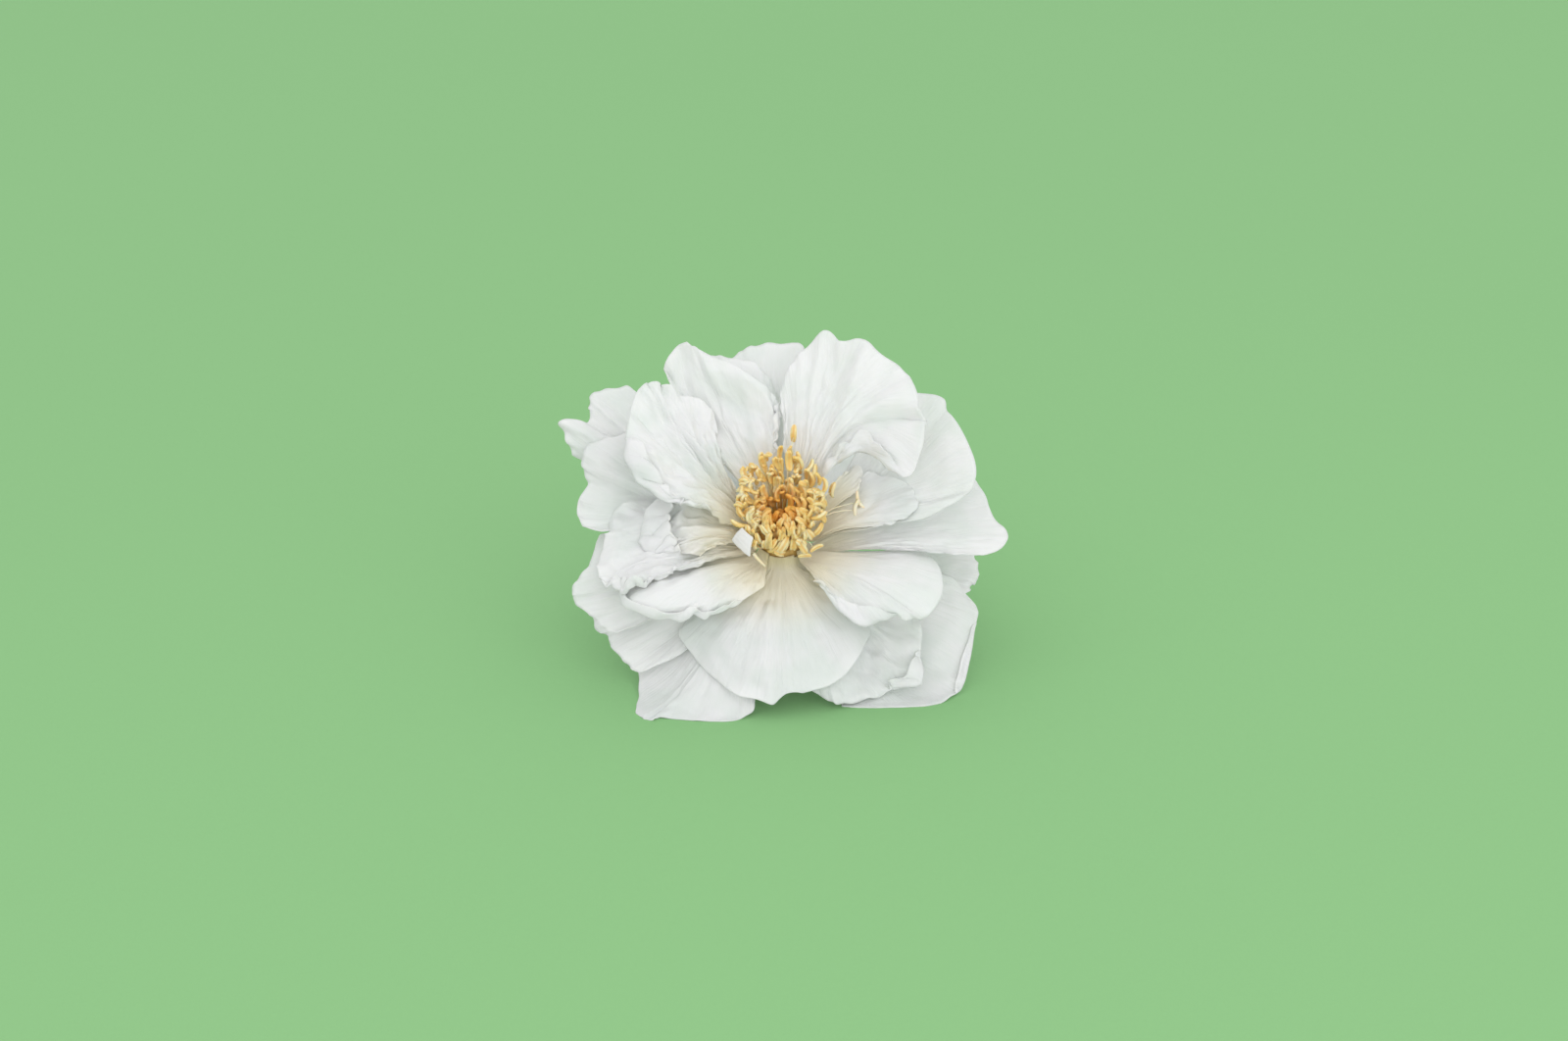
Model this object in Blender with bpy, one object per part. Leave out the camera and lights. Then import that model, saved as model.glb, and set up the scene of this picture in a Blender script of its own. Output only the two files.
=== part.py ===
"""Preserved white rose: an open rose head that stands on two lower petals and its cut stem end.

The flower is modelled about its own axis, +Z of an empty that leans towards -Y. Places on it are
an azimuth in degrees (0 = right, 90 = back, 270 = front), a radius from the axis and a height
along it. Everything rests on the plane z = 0.
"""
import math

import bmesh
import bpy
import numpy as np
from mathutils import Matrix, Vector

MM = 0.001

AXIS_LEAN = math.radians(20.0)      # the flower's axis leans this far forward from upright
BASE_HEIGHT = 22.0 * MM             # height of the petal ring's centre above the surface

HIP_NECK_RADIUS = 3.6 * MM          # the collar that the petal claws stand on
HIP_RADIUS = 4.9 * MM
HIP_BOTTOM = -14.0 * MM
HIP_TOP = 0.5 * MM
STEM_RADIUS = 1.7 * MM
HIP_PROFILE = [(0.0, HIP_BOTTOM), (STEM_RADIUS, HIP_BOTTOM), (2.6 * MM, -13.4 * MM),
               (4.2 * MM, -12.0 * MM), (HIP_RADIUS, -10.2 * MM), (4.6 * MM, -8.8 * MM),
               (HIP_NECK_RADIUS, -7.4 * MM), (HIP_NECK_RADIUS, 0.1 * MM),
               (3.3 * MM, HIP_TOP), (0.0, HIP_TOP)]
TOUCH_GAP = 0.3 * MM                # gap left between pieces that touch

CLAW_RADIUS = 4.6 * MM              # where every petal starts
PETAL_THICKNESS = 0.45 * MM
LAYER_SPACING = 1.0 * MM            # least distance between the middles of two lying petals
MARGIN_SLOPE = 1.4                  # how fast a pressed petal may rise again past the other's edge
RIM_HEIGHT = 1.2 * MM               # the petals open about this rim, just over their claws
CLAW_SPREAD = (0.5, 0.5)            # how late a petal widens from its claw, at its two sides
CLAW_FREE = 6.0 * MM                # this close to the rim the claws keep apart by their levels
FILL = 3                            # points tested across each face of a petal
FILL_WINDOW = 3                     # tested points on each side that move a corner
PETAL_COLUMNS = 12
PETAL_ROWS = 7
RIB_STEPS = 28

STAMEN_FOOT_RADIUS = 3.5 * MM
STAMEN_FOOT_HEIGHT = 0.9 * MM
STAMEN_WALL = 1.5 * MM
STAMEN_COLUMNS = 40
STYLE_RADIUS = 1.7 * MM
STYLE_HEIGHT = 5.4 * MM

PETALOID_SIZE = 3.8 * MM
PETALOID_CROWN = 0.8 * MM
PETALOID_AZIMUTH = 216.0
PETALOID_RADIUS = 7.6 * MM
PETALOID_HEIGHT = 4.4 * MM
PETALOID_LEAN = 62.0                # degrees from lying flat

SEPAL_COUNT = 5
SEPAL_LENGTH = 13.0
SEPAL_THICKNESS = 0.6 * MM
SEPAL_COLUMNS = 4

# One petal a row, from the innermost to the outermost, so that each lies under those before it.
# level: height of the claw in mm. lean: angle from the axis at the claw, the middle and the tip.
# side, cup: what is added to the lean towards the margins, across and on both sides.
# middle: azimuth of the claw. claw: width of the claw as a share of the petal's width.
# spread: how late the petal widens at its two sides, where it isn't CLAW_SPREAD.
# margin: azimuth and length of the rib, from one side of the petal to the other.
PETALS = {
    "upper_right_petal": dict(
        level=0.3, lean=(34, 46, 66), side=0, cup=0, middle=68, claw=0.3, ruffle=0.7,
        spread=(4.0, 0.5),
        margin=[(-6, 21.5), (1, 24), (15, 27), (24, 28), (32, 29.5), (40, 30), (52, 29), (58, 33),
                (69, 29.5), (73, 32), (79, 27.5), (85, 24), (88, 21.5), (88.5, 19)]),
    "small_right_petal": dict(
        level=-0.4, lean=(50, 62, 74), side=0, cup=-10, middle=30, claw=0.6, ruffle=0.1,
        margin=[(23, 9), (25, 11), (31, 12.5), (37, 13.5), (41, 12), (42, 10)]),
    "right_inner_petal": dict(
        level=-1.3, lean=(50, 68, 90), side=0, cup=-12, middle=14, claw=0.5, ruffle=0.3,
        margin=[(-5, 10), (-4, 14), (-2, 17.5), (4, 19), (14, 19), (25, 16.5), (35, 14.5)]),
    "left_shoulder_petal": dict(
        level=0.4, lean=(44, 58, 74), side=0, cup=-6, middle=160, claw=0.35, ruffle=0.6,
        spread=(1.6, 0.5),
        margin=[(119, 17), (120.5, 22), (126, 25), (131, 28), (135, 30), (141, 29.5), (148, 27.5),
                (160, 25.5), (173, 24.5), (179, 21), (181, 17)]),
    "left_inner_petal": dict(
        level=-0.6, lean=(46, 80, 116), side=0, cup=-6, middle=178, claw=0.5, ruffle=0.3,
        margin=[(153, 11.5), (157, 15), (166, 18), (178, 19), (187, 19), (191, 16.5), (194, 13.5),
                (197, 10)]),
    "upper_left_petal": dict(
        level=-0.5, lean=(34, 48, 64), side=0, cup=0, middle=110, claw=0.45, ruffle=0.6,
        margin=[(89, 19), (92, 21.5), (98, 23), (108, 27.5), (115, 31), (117, 33), (123, 32.5),
                (127, 31), (127, 27)]),
    "left_middle_petal": dict(
        level=-1.5, lean=(60, 80, 112), side=0, cup=-6, middle=190, claw=0.5, ruffle=0.5,
        margin=[(162, 21.5), (167, 24.5), (177, 24), (184, 25.5), (193, 26.5), (199, 27),
                (204, 25), (209, 24), (211, 20.5)]),
    "left_lower_inner_petal": dict(
        level=-1.7, lean=(74, 82, 112), side=0, cup=0, middle=222, claw=0.55, ruffle=0.3,
        margin=[(193, 20.5), (199, 22.5), (210, 24.5), (219, 23), (228, 17.5), (237, 15),
                (244, 11), (253, 5.5)]),
    "right_back_petal": dict(
        level=-2.1, lean=(50, 64, 78), side=0, cup=-12, middle=24, claw=0.45, ruffle=0.3,
        margin=[(-2, 10), (-2, 14), (-2, 20), (4, 27), (7, 29.5), (19, 31), (31, 31.5), (36, 32),
                (43, 29.5), (49, 27)]),
    "right_pointed_petal": dict(
        level=-3.4, lean=(66, 84, 92), side=8, cup=0, middle=358, claw=0.5, ruffle=0.2,
        margin=[(350, 18), (350, 24), (351, 29), (355, 32.5), (365, 30.5), (381, 30),
                (388, 29), (394, 26)]),
    "lower_right_front_petal": dict(
        level=-1.6, lean=(72, 82, 108), side=0, cup=0, middle=322, claw=0.55, ruffle=0.3,
        margin=[(298, 12.5), (300, 16.5), (304, 19), (311, 21), (315, 23), (319, 25), (333, 24.5),
                (348, 21.5), (352, 16)]),
    "bottom_center_petal": dict(
        level=-2.7, lean=(86, 112, 144), side=0, cup=0, middle=268, claw=0.55, ruffle=0.4,
        margin=[(211, 15), (214, 17.5), (223, 19), (244, 21.5), (253, 23), (265, 25), (271, 22),
                (279, 22), (291, 22.5), (310, 18), (319, 15.5), (327, 11)]),
    "upper_left_back_petal": dict(
        level=-1.2, lean=(40, 56, 68), side=0, cup=0, middle=102, claw=0.45, ruffle=0.3,
        margin=[(90, 18.5), (91, 23), (94, 25.5), (98, 27.5), (106, 29), (112, 30), (116, 29.5)]),
    "left_upper_outer_petal": dict(
        level=-2.3, lean=(56, 72, 88), side=0, cup=-6, middle=160, claw=0.45, ruffle=0.5,
        margin=[(136, 25.5), (145, 29), (151, 32), (155, 32), (158, 31.5), (158, 30.5), (164, 31),
                (170, 30), (173, 27.5), (173, 23.5)]),
    "top_back_petal": dict(
        level=-1.9, lean=(46, 64, 74), side=0, cup=0, middle=92, claw=0.45, ruffle=0.4,
        margin=[(78, 27.5), (81, 31), (85, 32.5), (93, 32.5), (100, 31.5), (104, 30.5),
                (109, 27.5)]),
    "left_outer_petal": dict(
        level=-2.5, lean=(76, 92, 106), side=0, cup=0, middle=192, claw=0.5, ruffle=0.3,
        margin=[(169, 25.5), (184, 27.5), (190, 30), (195, 30.5), (200, 28.5), (205, 26.5)]),
    "left_lower_outer_petal": dict(
        level=-3.4, lean=(84, 100, 122), side=0, cup=0, middle=216, claw=0.5, ruffle=0.3,
        margin=[(194, 28), (197, 28.5), (199, 27.5), (204, 28), (210, 28), (215, 27.5),
                (219, 22.5), (223, 19), (227, 15.5)]),
    "lower_right_under_petal": dict(
        level=-3.4, lean=(90, 112, 126), side=-14, cup=0, middle=308, claw=0.5, ruffle=0.4,
        margin=[(281, 20.5), (286, 23.5), (291, 24), (298, 26), (309, 26), (320, 27.5), (327, 24),
                (335, 21.5), (341, 18.5)]),
    "left_tip_petal": dict(
        level=-3.2, lean=(56, 70, 80), side=0, cup=-6, middle=150, claw=0.45, ruffle=0.4,
        margin=[(129, 32), (133, 37), (138, 39.5), (141, 38.5), (144, 37.5), (147.5, 40),
                (151, 37.5), (154, 34), (158, 30)]),
    "bottom_left_petal": dict(
        level=-4.0, lean=(90, 110, 128), side=0, cup=0, middle=238, claw=0.5, ruffle=0.3,
        margin=[(212, 24), (219, 29), (225, 33), (230, 33.5), (235, 30.5), (243, 28.5), (252, 27),
                (258, 24.5), (260, 20)]),
    "outer_lower_right_petal": dict(
        level=-4.4, lean=(92, 108, 122), side=-20, cup=0, middle=318, claw=0.45, ruffle=0.3,
        margin=[(300, 28), (303, 31), (309, 34.5), (316, 37), (324, 36), (332, 34), (352, 31),
                (357, 32.5), (361, 29.5), (366, 27.5), (367, 23.5)]),
    "right_low_back_petal": dict(
        level=-4.2, lean=(80, 98, 108), side=0, cup=0, middle=356, claw=0.45, ruffle=0.3,
        margin=[(353, 28.5), (360, 32), (365, 33.5), (371, 33.5), (378, 31.5)]),
    "back_right_petal": dict(
        level=-3.2, lean=(74, 90, 98), side=0, cup=0, middle=52, claw=0.45, ruffle=0.4,
        margin=[(22, 17), (28, 23), (38, 27), (50, 29), (62, 28), (74, 24), (82, 18)]),
    "back_left_petal": dict(
        level=-3.6, lean=(76, 92, 100), side=0, cup=0, middle=118, claw=0.45, ruffle=0.4,
        margin=[(84, 17), (92, 24), (104, 28), (118, 29), (130, 28), (142, 24), (150, 18)]),
}

WHITE = (0.80, 0.82, 0.80, 1.0)
STAMEN_GOLD = (0.82, 0.50, 0.17, 1.0)
STYLE_ORANGE = (0.42, 0.16, 0.03, 1.0)
SEPAL_GREEN = (0.30, 0.34, 0.15, 1.0)
HIP_GREEN = (0.34, 0.38, 0.18, 1.0)
STEM_TAN = (0.36, 0.33, 0.17, 1.0)


def make_material(name, color, roughness):
    material = bpy.data.materials.new(name)
    material.use_nodes = True
    shader = material.node_tree.nodes["Principled BSDF"]
    shader.inputs["Base Color"].default_value = color
    shader.inputs["Roughness"].default_value = roughness
    shader.inputs["Metallic"].default_value = 0.0
    return material


def flower_point(azimuth, radius, height):
    """Place on the flower from azimuth in degrees, radius and height."""
    angle = math.radians(azimuth)
    return Vector((radius * math.cos(angle), radius * math.sin(angle), height))


def curve_through(points, place):
    """Smooth curve through the points; place runs from 0 to 1."""
    last = len(points) - 1
    span = min(int(place * last), last - 1)
    f = place * last - span
    before, start = points[max(span - 1, 0)], points[span]
    end, after = points[span + 1], points[min(span + 2, last)]
    mixed = []
    for p, a, b, q in zip(before, start, end, after):
        mixed.append(0.5 * (2 * a + (b - p) * f + (2 * p - 5 * a + 4 * b - q) * f * f
                            + (3 * a - p - 3 * b + q) * f ** 3))
    return mixed


def rib_points(spec, place):
    """One rib of a petal, from its claw to the margin, as PETAL_ROWS + 1 points."""
    azimuth, length = curve_through(spec["margin"], place)
    across = 2 * place - 1
    opening = spec["side"] * across + spec["cup"] * across * across
    start, middle, end = spec["lean"]
    middle += 0.6 * opening
    end += opening
    step = length * MM / RIB_STEPS
    radius, height = CLAW_RADIUS, spec["level"] * MM
    track = [(radius, height)]
    for i in range(RIB_STEPS):
        t = (i + 0.5) / RIB_STEPS
        lean = start * (1 - t) * (1 - 2 * t) + middle * 4 * t * (1 - t) + end * t * (2 * t - 1)
        radius += step * math.sin(math.radians(lean))
        height += step * math.cos(math.radians(lean))
        track.append((radius, height))
    first, last = spec.get("spread", CLAW_SPREAD)
    late = first + (last - first) * place
    points = []
    for row in range(PETAL_ROWS + 1):
        t = row / PETAL_ROWS
        radius, height = track[round(t * RIB_STEPS)]
        spread = spec["claw"] + (1 - spec["claw"]) * t ** late
        turned = spec["middle"] + (azimuth - spec["middle"]) * spread
        wave = spec["ruffle"] * MM * t * t * math.sin(5.0 * math.pi * place + spec["middle"])
        points.append(flower_point(turned, radius, height + wave))
    return points


def rim_place(points):
    """Azimuth, distance and opening angle of points as seen from the rim of the hip."""
    azimuth = np.arctan2(points[..., 1], points[..., 0])
    outward = np.hypot(points[..., 0], points[..., 1]) - CLAW_RADIUS
    upward = points[..., 2] - RIM_HEIGHT
    return azimuth, np.hypot(outward, upward), np.arctan2(outward, upward)


def from_rim_place(azimuth, distance, opening):
    radius = CLAW_RADIUS + distance * np.sin(opening)
    height = RIM_HEIGHT + distance * np.cos(opening)
    return np.stack((radius * np.cos(azimuth), radius * np.sin(azimuth), height), axis=-1)


def filled_in(grid, parts):
    """The grid of points with each of its faces divided into parts, straight across."""
    for _ in range(2):
        steps = [grid[:-1] * (1 - i / parts) + grid[1:] * (i / parts) for i in range(parts)]
        rows = np.stack(steps, axis=1).reshape(-1, *grid.shape[1:])
        grid = np.concatenate((rows, grid[-1:])).swapaxes(0, 1)
    return grid


def lay_under(grid, others):
    """Open a petal wherever it would touch the petals that lie over it."""
    azimuth, distance, opening = (part[..., None] for part in rim_place(filled_in(grid, FILL)))
    over_azimuth, over_distance, over_opening = others
    turn = np.abs((azimuth - over_azimuth + np.pi) % (2 * np.pi) - np.pi)
    reach = CLAW_RADIUS + over_distance * np.sin(over_opening)
    beside = np.hypot(distance - over_distance, reach * turn)
    free = np.maximum(distance, CLAW_FREE)
    needed = over_opening + (LAYER_SPACING - MARGIN_SLOPE * beside) / free - opening
    needed[(distance < CLAW_FREE) | (over_distance < CLAW_FREE)] = 0.0
    push = np.maximum(needed.max(axis=-1), 0.0)
    columns, rows = grid.shape[0], grid.shape[1]
    widest = np.zeros((columns, rows))
    for column in range(columns):
        for row in range(rows):
            across = slice(max(column * FILL - FILL_WINDOW, 0), column * FILL + FILL_WINDOW + 1)
            along = slice(max(row * FILL - FILL_WINDOW, 0), row * FILL + FILL_WINDOW + 1)
            widest[column, row] = push[across, along].max()
    for _ in range(3):
        edged = np.pad(widest, 1, mode="edge")
        mean = (edged[:-2, 1:-1] + edged[2:, 1:-1] + edged[1:-1, :-2] + edged[1:-1, 2:]) / 4
        widest = np.maximum(widest, mean)
    azimuth, distance, opening = rim_place(grid)
    return from_rim_place(azimuth, distance, np.minimum(opening + widest, math.pi))


def keep_off_surface(grid):
    """Lift what would sink into the surface that the flower stands on."""
    up = np.array((0.0, math.sin(AXIS_LEAN), math.cos(AXIS_LEAN)))
    sunk = PETAL_THICKNESS / 2 - BASE_HEIGHT - grid @ up
    return grid + np.maximum(sunk, 0.0)[..., None] * up


def keep_off_hip(grid, clearance):
    """Move what would cut into the hip out to its surface."""
    heights = [height for _, height in HIP_PROFILE]
    radii = [radius for radius, _ in HIP_PROFILE]
    radius = np.hypot(grid[..., 0], grid[..., 1])
    least = np.interp(grid[..., 2], heights, radii) + clearance
    wider = np.maximum(least / radius, 1.0)[..., None]
    return np.concatenate((grid[..., :2] * wider, grid[..., 2:]), axis=-1)


def petal_grid(spec, others):
    """Middle surface of a petal, laid under the petals that came before it."""
    ribs = [rib_points(spec, column / PETAL_COLUMNS) for column in range(PETAL_COLUMNS + 1)]
    grid = np.array(ribs)
    if others is not None:
        grid = lay_under(grid, others)
    return keep_off_surface(keep_off_hip(grid, PETAL_THICKNESS + TOUCH_GAP))


def link_object(name, mesh, material, parent):
    part = bpy.data.objects.new(name, mesh)
    part.data.materials.append(material)
    part.parent = parent
    bpy.context.scene.collection.objects.link(part)
    return part


def build_sheet(name, grid, thickness, material, parent):
    """Thin curved leaf from a grid of points, with its thickness about the middle."""
    bm = bmesh.new()
    bmesh.ops.create_grid(bm, x_segments=grid.shape[0] - 1, y_segments=grid.shape[1] - 1, size=1.0)
    order = sorted(bm.verts, key=lambda vert: (round(vert.co.x, 4), round(vert.co.y, 4)))
    for vert, point in zip(order, grid.reshape(-1, 3)):
        vert.co = point
    bmesh.ops.recalc_face_normals(bm, faces=bm.faces)
    mesh = bpy.data.meshes.new(name)
    bm.to_mesh(mesh)
    bm.free()
    mesh.shade_smooth()
    part = link_object(name, mesh, material, parent)
    solid = part.modifiers.new("Thickness", "SOLIDIFY")
    solid.thickness = thickness
    solid.offset = 0.0
    return part


def build_petals(parent):
    material = make_material("petal_white", WHITE, 0.62)
    others = None
    for name, spec in PETALS.items():
        grid = petal_grid(spec, others)
        places = [part.ravel() for part in rim_place(filled_in(grid, FILL))]
        if others is None:
            others = places
        else:
            others = [np.concatenate(pair) for pair in zip(others, places)]
        build_sheet(name, grid, PETAL_THICKNESS, material, parent)


def build_sepals(parent):
    """Five narrow sepals folded back along the hip."""
    material = make_material("sepal_green", SEPAL_GREEN, 0.7)
    for number in range(SEPAL_COUNT):
        middle = 18 + number * 360 / SEPAL_COUNT
        margin = []
        for offset, share in ((-30, 0.35), (-20, 0.8), (0, 1.0), (20, 0.8), (30, 0.35)):
            margin.append((middle + offset, SEPAL_LENGTH * share))
        spec = dict(level=-6.6, lean=(116, 156, 176), side=0, cup=0, middle=middle, claw=0.8,
                    ruffle=0.0, margin=margin)
        ribs = [rib_points(spec, column / SEPAL_COLUMNS) for column in range(SEPAL_COLUMNS + 1)]
        grid = keep_off_hip(np.array(ribs), SEPAL_THICKNESS + TOUCH_GAP)
        build_sheet(f"sepal_{number + 1}", grid, SEPAL_THICKNESS, material, parent)


def build_petaloid(parent):
    """Stray white flake that leans on the stamens at the lower left."""
    bm = bmesh.new()
    bmesh.ops.create_grid(bm, x_segments=3, y_segments=3, size=PETALOID_SIZE / 2)
    for vert in bm.verts:
        vert.co.z = -PETALOID_CROWN * (vert.co.xy.length / PETALOID_SIZE) ** 2
    lean = Matrix.Rotation(math.radians(PETALOID_LEAN), 4, "Y")
    turn = Matrix.Rotation(math.radians(PETALOID_AZIMUTH), 4, "Z")
    place = flower_point(PETALOID_AZIMUTH, PETALOID_RADIUS, PETALOID_HEIGHT)
    bmesh.ops.transform(bm, matrix=Matrix.Translation(place) @ turn @ lean, verts=bm.verts)
    mesh = bpy.data.meshes.new("petaloid_flake")
    bm.to_mesh(mesh)
    bm.free()
    mesh.shade_smooth()
    material = make_material("petaloid_white", WHITE, 0.62)
    part = link_object("petaloid_flake", mesh, material, parent)
    solid = part.modifiers.new("Thickness", "SOLIDIFY")
    solid.thickness = PETAL_THICKNESS
    solid.offset = 0.0


def turned_mesh(name, profile, steps):
    """Solid of revolution about the flower's axis; the profile runs from pole to pole."""
    bm = bmesh.new()
    verts = [bm.verts.new((radius, 0.0, height)) for radius, height in profile]
    edges = [bm.edges.new(pair) for pair in zip(verts, verts[1:])]
    bmesh.ops.spin(bm, geom=verts + edges, cent=(0, 0, 0), axis=(0, 0, 1), angle=2 * math.pi,
                   steps=steps, use_merge=True)
    bmesh.ops.remove_doubles(bm, verts=bm.verts, dist=0.01 * MM)
    bmesh.ops.recalc_face_normals(bm, faces=bm.faces)
    mesh = bpy.data.meshes.new(name)
    bm.to_mesh(mesh)
    bm.free()
    mesh.shade_smooth()
    return mesh


def build_hip(parent):
    mesh = turned_mesh("hip", HIP_PROFILE, 20)
    link_object("hip", mesh, make_material("hip_green", HIP_GREEN, 0.55), parent)


def build_stem(parent):
    """Short stem end, cut level where it rests."""
    top = HIP_BOTTOM - TOUCH_GAP
    foot = -(BASE_HEIGHT / math.cos(AXIS_LEAN)) - 2 * STEM_RADIUS
    bm = bmesh.new()
    bmesh.ops.create_cone(bm, cap_ends=True, segments=14, radius1=STEM_RADIUS * 1.15,
                          radius2=STEM_RADIUS * 0.95, depth=top - foot,
                          matrix=Matrix.Translation((0, 0, (top + foot) / 2)))
    up = Vector((0.0, math.sin(AXIS_LEAN), math.cos(AXIS_LEAN)))
    geometry = bm.verts[:] + bm.edges[:] + bm.faces[:]
    cut = bmesh.ops.bisect_plane(bm, geom=geometry, plane_co=-up * BASE_HEIGHT, plane_no=-up,
                                 clear_outer=True)
    rim = [item for item in cut["geom_cut"] if isinstance(item, bmesh.types.BMEdge)]
    bmesh.ops.contextual_create(bm, geom=rim)
    bmesh.ops.recalc_face_normals(bm, faces=bm.faces)
    mesh = bpy.data.meshes.new("stem_end")
    bm.to_mesh(mesh)
    bm.free()
    mesh.shade_smooth()
    mesh.set_sharp_from_angle(angle=math.radians(40))
    link_object("stem_end", mesh, make_material("stem_tan", STEM_TAN, 0.6), parent)


def build_stamens(parent):
    """Crown of stamens as one wall: upright in front, taller and leaning out at the back."""
    bm = bmesh.new()
    section = [bm.verts.new((2.0, 0, 0)), bm.verts.new((2.0, 0, 1)), bm.verts.new((2.0, 0, 2)),
               bm.verts.new((1.0, 0, 2)), bm.verts.new((1.0, 0, 1)), bm.verts.new((1.0, 0, 0))]
    edges = [bm.edges.new(pair) for pair in zip(section, section[1:] + section[:1])]
    bmesh.ops.spin(bm, geom=section + edges, cent=(0, 0, 0), axis=(0, 0, 1), angle=2 * math.pi,
                   steps=STAMEN_COLUMNS, use_merge=True)
    for vert in bm.verts:
        azimuth = math.atan2(vert.co.y, vert.co.x)
        column = round(azimuth / (2 * math.pi) * STAMEN_COLUMNS)
        back = (1 + math.sin(azimuth)) / 2
        lean = math.radians(12 + 20 * math.sqrt(back))
        length = (8.0 + 3.2 * back + 0.9 * (column % 2)) * MM
        along = vert.co.z / 2 * length
        wall = STAMEN_WALL if vert.co.xy.length < 1.5 else 0.0
        radius = STAMEN_FOOT_RADIUS + along * math.sin(lean) - wall
        height = STAMEN_FOOT_HEIGHT + along * math.cos(lean)
        vert.co = flower_point(math.degrees(azimuth), radius, height)
    bmesh.ops.recalc_face_normals(bm, faces=bm.faces)
    mesh = bpy.data.meshes.new("stamens")
    bm.to_mesh(mesh)
    bm.free()
    mesh.shade_smooth()
    link_object("stamens", mesh, make_material("stamen_gold", STAMEN_GOLD, 0.6), parent)


def build_styles(parent):
    """Tuft of styles in the middle, as one knob."""
    foot = HIP_TOP + TOUCH_GAP
    profile = [(0.0, foot), (0.8 * STYLE_RADIUS, foot), (0.8 * STYLE_RADIUS, foot + 2.4 * MM),
               (STYLE_RADIUS, foot + 0.7 * STYLE_HEIGHT),
               (0.7 * STYLE_RADIUS, foot + 0.95 * STYLE_HEIGHT), (0.0, foot + STYLE_HEIGHT)]
    mesh = turned_mesh("styles", profile, 12)
    link_object("styles", mesh, make_material("style_orange", STYLE_ORANGE, 0.7), parent)


def centre_on_surface(parent):
    """Move the whole flower so that its box stands centred on the origin."""
    bpy.context.view_layer.update()
    low = Vector((math.inf, math.inf))
    high = -low
    graph = bpy.context.evaluated_depsgraph_get()
    for part in parent.children:
        shape = part.evaluated_get(graph)
        for vert in shape.data.vertices:
            place = shape.matrix_world @ vert.co
            low = Vector((min(low.x, place.x), min(low.y, place.y)))
            high = Vector((max(high.x, place.x), max(high.y, place.y)))
    parent.location.xy -= (low + high) / 2


def build_rose():
    for old in list(bpy.data.objects):
        bpy.data.objects.remove(old)
    flower = bpy.data.objects.new("flower_axis", None)
    flower.rotation_euler = (AXIS_LEAN, 0.0, 0.0)
    flower.location = (0.0, 0.0, BASE_HEIGHT)
    bpy.context.scene.collection.objects.link(flower)
    build_hip(flower)
    build_stem(flower)
    build_sepals(flower)
    build_petals(flower)
    build_petaloid(flower)
    build_stamens(flower)
    build_styles(flower)
    centre_on_surface(flower)


build_rose()
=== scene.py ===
import math
import random

import bmesh
import bpy
import numpy as np
from mathutils import Matrix, Vector, noise


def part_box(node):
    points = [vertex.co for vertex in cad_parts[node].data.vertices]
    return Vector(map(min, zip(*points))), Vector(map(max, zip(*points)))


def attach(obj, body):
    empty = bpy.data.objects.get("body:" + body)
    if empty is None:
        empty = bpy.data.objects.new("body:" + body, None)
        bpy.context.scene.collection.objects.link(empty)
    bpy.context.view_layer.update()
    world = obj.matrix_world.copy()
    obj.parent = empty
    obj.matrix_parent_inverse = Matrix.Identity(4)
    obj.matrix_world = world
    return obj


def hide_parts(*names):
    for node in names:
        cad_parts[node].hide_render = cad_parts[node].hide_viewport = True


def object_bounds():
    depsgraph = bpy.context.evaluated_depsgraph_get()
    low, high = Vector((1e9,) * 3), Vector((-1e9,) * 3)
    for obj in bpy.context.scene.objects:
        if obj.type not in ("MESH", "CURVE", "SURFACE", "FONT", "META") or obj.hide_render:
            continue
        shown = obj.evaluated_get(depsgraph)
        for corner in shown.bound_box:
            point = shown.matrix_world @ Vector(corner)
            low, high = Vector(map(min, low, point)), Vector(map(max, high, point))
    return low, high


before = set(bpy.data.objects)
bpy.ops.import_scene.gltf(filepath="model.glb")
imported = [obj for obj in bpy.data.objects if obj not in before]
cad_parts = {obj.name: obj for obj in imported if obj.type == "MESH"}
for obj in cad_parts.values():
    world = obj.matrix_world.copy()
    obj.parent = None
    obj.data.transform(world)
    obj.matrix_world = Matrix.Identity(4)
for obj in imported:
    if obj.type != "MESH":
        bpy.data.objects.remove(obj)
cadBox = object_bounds()

# lengths of the flower are in mm, about its own axis: azimuth 0 right, 90 back, 270 front
flower = dict(lean=20.0, clawRadius=4.6, rimHeight=1.2, layerSpacing=1.0, marginSlope=1.4,
              clawSpread=(0.5, 0.5), clawFree=6.0, fill=3, window=3, columns=12, rows=7, ribSteps=28,
              middleShare=0.6, ruffleHalfWaves=5.0, cadThickness=0.45, touchGap=0.3)
petalSheet = dict(columns=62, rows=42, coarse=("back", "outer", "small"), coarseShare=0.75,
                  thickness=0.16, smooth=1, fray=0.4, crumpleHeight=1.6, flatClaw=0.6,
                  heelRadius=3.85, heelRise=2.4, heelTop=0.1)
hipShape = dict(steps=40, smooth=2, lobes=5, swell=0.02, lobeTop=7, lobeFade=3,
                profile=[(0, -14), (1.7, -14), (2.6, -13.4), (4.2, -12), (4.9, -10.2), (4.6, -8.8),
                         (3.6, -7.4), (3.6, 0.1), (3.3, 0.5), (0, 0.5)])

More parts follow.
